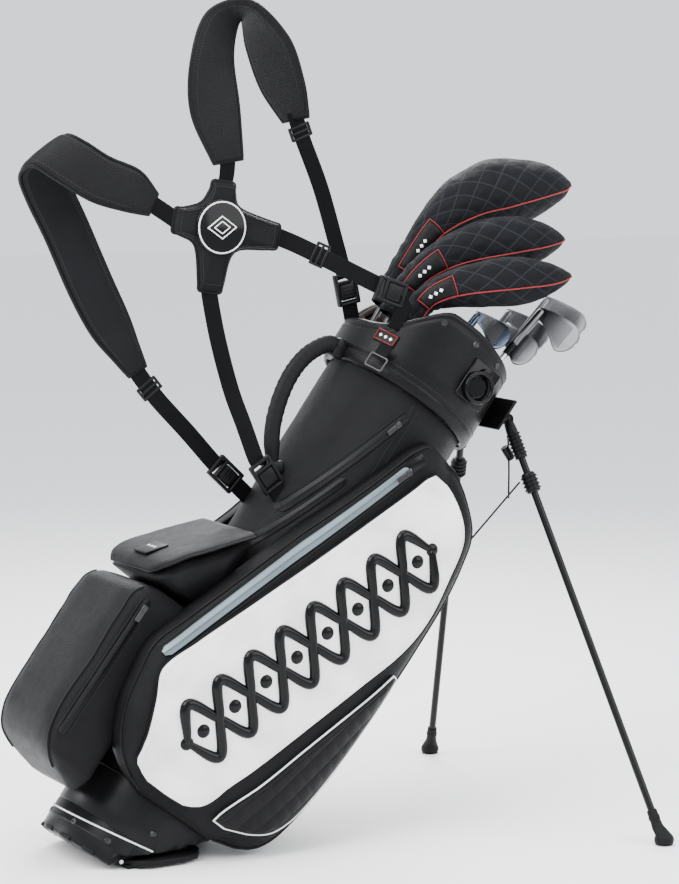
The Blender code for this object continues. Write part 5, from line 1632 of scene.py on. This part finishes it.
    def buckle(self, name: str, spot: Vector, along: Vector, across: Vector) -> None:
        """A side-release buckle with open windows."""
        half = (across - along * across.dot(along)).normalized()
        out = half.cross(along)
        if out.y > 0:
            out, half = -out, -half
        axes = (half, along, out)
        pieces = []
        for at in (-0.0155, 0.0155):
            pieces.append(block(spot + half * at, axes, (0.0050, 0.046, 0.0095), 0.0018))
        for at, width, deep in ((-0.0215, 0.036, 0.0085), (-0.0110, 0.032, 0.0100), (0.0215, 0.036, 0.0085)):
            pieces.append(block(spot + along * at, axes, (width, 0.0050, deep), 0.0018))
        pieces.append(block(spot + along * 0.004, axes, (0.024, 0.024, 0.0090), 0.0024))
        for k in range(4):
            pieces.append(block(spot + along * (-0.003 + 0.0045 * k) + out * 0.0046, axes,
                                (0.016, 0.0014, 0.0012), 0.0004))
        self.dress(join(pieces, f"{name}_clip"), MOULDING, f"{name}_buckle")


@dataclass
class ClubLine:
    """A club's butt and direction, in the bag's own frame."""

    butt: Vector
    neck: Vector

    @property
    def along(self) -> Vector:
        """The shaft's direction in the bag's frame."""
        return (self.neck - self.butt).normalized()

    @property
    def length(self) -> float:
        """Distance from the butt to the neck."""
        return (self.neck - self.butt).length

    def world(self, distance: float) -> Vector:
        """A place along the shaft in the world."""
        return tilt(*(self.butt + self.along * distance))


IRON_SOLE = ((-0.006, 0.0010, 0.0062), (-0.004, 0.0, 0.007), (0.012, -0.0020, 0.0088), (0.030, -0.003, 0.010),
             (0.060, -0.001, 0.010), (0.074, 0.007, 0.008), (0.0785, 0.0180, 0.004))
IRON_TOP = ((-0.006, 0.0140, 0.0050), (0.010, 0.0180, 0.0042), (0.024, 0.024, 0.0035),
            (0.040, 0.0345, 0.0031),
            (0.056, 0.045, 0.0030), (0.066, 0.0465, 0.0030), (0.071, 0.044, 0.0030), (0.0785, 0.0320, 0.003))


@dataclass
class Clubs(SubAssembly):
    """The three covered woods and the five irons."""

    grip_length: float = 0.27
    toe: tuple[float, float, float] = (0.55, -0.80, 0.10)

    def build(self) -> None:
        """Makes every club."""
        self.build_wood("driver", (-0.058, 0.078), (
            ((-0.112, 0.059, 0.868), 0.020, 0.020), ((-0.113, 0.060, 0.945), 0.022, 0.023),
            ((-0.109, 0.062, 1.005), 0.028, 0.029), ((-0.086, 0.068, 1.062), 0.046, 0.042),
            ((-0.045, 0.074, 1.115), 0.057, 0.050), ((0.000, 0.076, 1.163), 0.044, 0.045),
            ((0.032, 0.076, 1.192), 0.026, 0.030), ((0.050, 0.076, 1.208), 0.007, 0.010)))
        self.build_wood("fairway", (-0.090, 0.038), (
            ((-0.119, 0.010, 0.850), 0.020, 0.0195), ((-0.116, 0.005, 0.910), 0.022, 0.022),
            ((-0.101, -0.004, 0.956), 0.030, 0.026), ((-0.070, -0.010, 1.000), 0.040, 0.030),
            ((-0.030, -0.014, 1.042), 0.043, 0.032), ((0.008, -0.014, 1.076), 0.032, 0.030),
            ((0.032, -0.014, 1.096), 0.017, 0.020), ((0.044, -0.014, 1.106), 0.005, 0.008)))
        self.build_wood("hybrid", (-0.104, 0.008), (
            ((-0.116, -0.040, 0.846), 0.0185, 0.0185), ((-0.108, -0.048, 0.886), 0.021, 0.021),
            ((-0.088, -0.062, 0.922), 0.028, 0.024), ((-0.056, -0.074, 0.955), 0.035, 0.027),
            ((-0.016, -0.079, 0.990), 0.036, 0.029), ((0.018, -0.080, 1.018), 0.027, 0.027),
            ((0.040, -0.080, 1.037), 0.015, 0.018), ((0.051, -0.080, 1.048), 0.005, 0.008)))
        for name, (x, y), neck, finish, scale in (
                ("utility_iron", (-0.100, -0.022), (-0.005, -0.015, 0.935), DARK_STEEL, 0.85),
                ("long_iron", (-0.040, -0.050), (0.0755, -0.022, 1.020), SATIN, 1.0),
                ("middle_iron", (-0.075, -0.050), (0.058, -0.058, 0.990), SATIN, 1.0),
                ("short_iron", (-0.062, -0.018), (0.0343, -0.0132, 0.945), SATIN, 1.0),
                ("wedge", (-0.035, 0.012), (0.066, 0.038, 0.985), SATIN, 1.0)):
            line = ClubLine(Vector((x, y, 0.046)), Vector(neck))
            self.build_shaft(name, line, line.length - 0.0705, CHROME)
            self.build_iron(name, line, finish, scale)

    def build_shaft(self, name: str, line: ClubLine, length: float, finish: Finish) -> None:
        """The grip with its cap and rings, and the stepped shaft."""
        start, along = line.world(0.0), tilt(*line.along)
        profile = [(0.0, 0.0), (0.0, 0.0115), (0.0015, 0.0133), (0.004, 0.0137), (0.010, 0.0134)]
        count = 44
        for i in range(count):
            at = 0.014 + (self.grip_length - 0.020) * i / count
            radius = 0.0134 - (0.0134 - 0.0099) * i / count
            profile += [(at, radius), (at + 0.0036, radius), (at + 0.0042, radius - 0.00035),
                        (at + 0.0050, radius - 0.00035)]
        profile += [(self.grip_length - 0.002, 0.0098), (self.grip_length, 0.0090),
                    (self.grip_length, 0.0066)]
        grip = lathe(f"{name}_grip", start, along, profile, 24)
        self.dress(join([grip], f"{name}_grip"), GRIP_RUBBER, f"{name}_shaft", body=name)
        steps = [(self.grip_length - 0.004, 0.0066)]
        for k in range(12):
            at = self.grip_length + 0.04 + (length - self.grip_length - 0.10) * k / 12
            radius = 0.0066 - 0.00016 * k
            steps += [(at, radius), (at + 0.0006, radius - 0.00016)]
        steps.append((length + 0.004, 0.0047))
        shaft = lathe(f"{name}_steel", start, along, steps, 28)
        self.dress(join([shaft], f"{name}_shaft_tube"), finish, body=name)

    def build_wood(self, name: str, butt: tuple[float, float],
                   path: Sequence[tuple[Sequence[float], float, float]]) -> None:
        """A wood's shaft and its knitted cover with red piping and a bordered patch."""
        centres = [Vector(row[0]) for row in path]
        line = ClubLine(Vector((*butt, 0.046)), centres[1])
        centres[0] = centres[1] - line.along * ((centres[1].z - centres[0].z) / line.along.z)
        self.build_shaft(name, line, line.length, GRAPHITE)
        places = smooth_path(centres, 8)
        sizes = smooth_path([(row[1], row[2], 0.0) for row in path], 8)
        rows, piping, patch = [], [], []
        count = len(places)
        turns = 40
        for i, (centre, size) in enumerate(zip(places, sizes)):
            run = (places[min(i + 1, count - 1)] - places[max(i - 1, 0)]).normalized()
            side = Vector((run.z, 0.0, -run.x)).normalized()
            deep = run.cross(side)
            share = i / (count - 1)
            rib = 0.0009 * math.sin(i * math.pi / 1.5) if share < 0.20 else 0.0
            ring = []
            for k in range(turns):
                a = 2 * math.pi * k / turns
                way = side * math.cos(a) * size.x + deep * math.sin(a) * size.y
                fold = crease(centre + way, 0.045, 0.0016, 4.0) * min(1.0, size.x / 0.02)
                ring.append(tilt(*(centre + way + way.normalized() * (rib + fold - 0.0004))))
            rows.append(ring)
            if i % 2 == 0 or i > count - 6:
                a = -math.pi / 2 + 0.25
                way = side * math.cos(a) * size.x + deep * math.sin(a) * size.y
                fold = crease(centre + way, 0.045, 0.0016, 4.0) * min(1.0, size.x / 0.02)
                piping.append(tilt(*(centre + way + way.normalized() * (fold + 0.0002))))
            if 0.10 <= share <= 0.30:
                row = []
                for k in range(9):
                    a = -math.pi / 2 - 0.85 + 0.13 * k
                    way = side * math.cos(a) * (size.x + 0.0022) + deep * math.sin(a) * (size.y + 0.0022)
                    row.append(tilt(*(centre + way)))
                patch.append(row)
        inside = [[sum(row, Vector()) / turns + (point - sum(row, Vector()) / turns) * 0.84 for point in row]
                  for row in (rows[0], rows[4])]
        self.dress(grid(f"{name}_cover_knit", inside[::-1] + rows, wrap=True, caps=True), COVER_KNIT,
                   f"{name}_cover",
                   body=name)
        self.dress(cord(f"{name}_cover_piping", piping, 0.0011), RED_TRIM, body=name)
        label = grid(f"{name}_cover_patch", patch)
        thick = label.modifiers.new("thick", "SOLIDIFY")
        thick.thickness = 0.0012
        self.dress(label, PAD_TRIM, body=name)
        edge = patch[0] + [row[-1] for row in patch[1:-1]] + patch[-1][::-1] + [row[0]
                                                                                for row in patch[-2:0:-1]]
        self.dress(cord(f"{name}_patch_border", edge, 0.0007, cyclic=True), RED_TRIM, body=name)
        middle = patch[len(patch) // 2]
        centre = middle[4]
        run = (patch[-1][4] - patch[0][4]).normalized()
        side = (middle[8] - middle[0]).normalized()
        out = run.cross(side)
        if out.y > 0:
            out = -out
        marks = [block(centre + out * 0.0006 + run * at,
                       ((side + run).normalized(), (run - side).normalized(), out),
                       (0.0046, 0.0046, 0.0008), 0.0003) for at in (-0.009, 0.0, 0.009)]
        self.dress(join(marks, f"{name}_patch_marks"), WHITE_TRIM, body=name)

    def edges(self, t: float) -> tuple[tuple[float, float], tuple[float, float]]:
        """A blade's sole edge and top edge at a distance toward the toe: height and thickness of each."""
        s1, d1 = table_at(IRON_SOLE, min(t, 0.058))
        s2, d2 = table_at(IRON_TOP, min(t, 0.058))
        q = max(0.0, (t - 0.058) / 0.0206)
        drop = (s2 - s1) / 2 * (1 - math.sqrt(max(0.0, 1 - q * q)))
        return (s1 + drop, d1 + (0.0045 - d1) * q * q), (s2 - drop, d2)

    def build_iron(self, name: str, line: ClubLine, finish: Finish, scale: float) -> None:
        """An iron's blade with its cavity back, hosel, ferrule and milled face."""
        axis = line.along
        toe = Vector(self.toe)
        toe = (toe - axis * toe.dot(axis)).normalized()
        face = axis.cross(toe).normalized()
        if face.y > 0:
            face = -face
        end = line.butt + axis * line.length

        def spot(t: float, s: float, d: float) -> Vector:
            """A place on the head: toward the toe, back from the sole and out from the face."""
            return tilt(*(end + toe * t * scale - axis * s * scale + face * d))

        rows = []
        stations = 40
        for i in range(stations + 1):
            t = -0.006 + 0.0845 * math.sin(math.pi / 2 * i / stations)
            (s1, d1), (s2, d2) = self.edges(t)
            close = min(1.0, (stations - i) / 4 + 0.30)
            ring = []
            for k in range(BLADE_FLAT + 1):
                u = k / BLADE_FLAT
                ring.append(spot(t, s1 + (s2 - s1) * u, (d1 + (d2 - d1) * u) * FACE_SHARE * close))
            for k in range(BLADE_ROUND):
                a = math.pi * (k + 0.5) / BLADE_ROUND
                depth = d2 * EDGE_ROUND / 2
                ring.append(spot(t, s2 + math.sin(a) * TOP_BULGE * close,
                                 d2 * FACE_SHARE * close - depth * (1 - math.cos(a)) * close))
            for k in range(BLADE_FLAT + 1):
                u = 1 - k / BLADE_FLAT
                step = min(1.0, max(0.0, (u - 0.30) / 0.16))
                step = step * step * (3 - 2 * step)
                cavity = d1 * (1 - step) + d2 * 0.85 * step + 0.0009 * max(0.0, 1 - abs(u - 0.95) / 0.07)
                ring.append(spot(t, s1 + (s2 - s1) * u, -min(cavity, d1 + (d2 - d1) * u) * close))
            for k in range(BLADE_ROUND):
                a = math.pi * (k + 0.5) / BLADE_ROUND
                depth = d1 * EDGE_ROUND / 2
                ring.append(spot(t, s1 - math.sin(a) * SOLE_BULGE * close,
                                 -d1 * close + depth * (1 - math.cos(a)) * close))
            rows.append(ring)
        blade = grid("blade", rows, wrap=True, caps=True)
        along = tilt(*axis)
        base = line.world(line.length)
        hosel = lathe("hosel", base, along, HOSEL_PROFILE, 36)
        self.dress(join([blade, hosel], f"{name}_blade"), finish, f"{name}_head", body=name)
        ferrule = lathe("ferrule", base, along, FERRULE_PROFILE, 32)
        self.dress(join([ferrule], f"{name}_ferrule"), BADGE_GLOSS, body=name)

        rows = []
        low, high = 0.10, 0.90
        for i in range(25):
            t = 0.013 + 0.048 * i / 24
            s1, d1 = table_at(IRON_SOLE, t)
            s2, d2 = table_at(IRON_TOP, t)
            rows.append([spot(t, s1 + (s2 - s1) * u, (d1 + (d2 - d1) * u) * FACE_SHARE + 0.00018)
                         for u in (low + (high - low) * k / 12 for k in range(13))])
        self.dress(grid(f"{name}_face_plate", rows), FACE, body=name)


def main() -> None:
    """Builds the whole scene in order and reports it."""
    logging.basicConfig(level=logging.WARNING)
    Studio().build()
    Shell().build()
    Pockets().build()
    Fittings().build()
    Stand().build()
    Harness().build()
    Clubs().build()


if __name__ == "__main__":
    main()
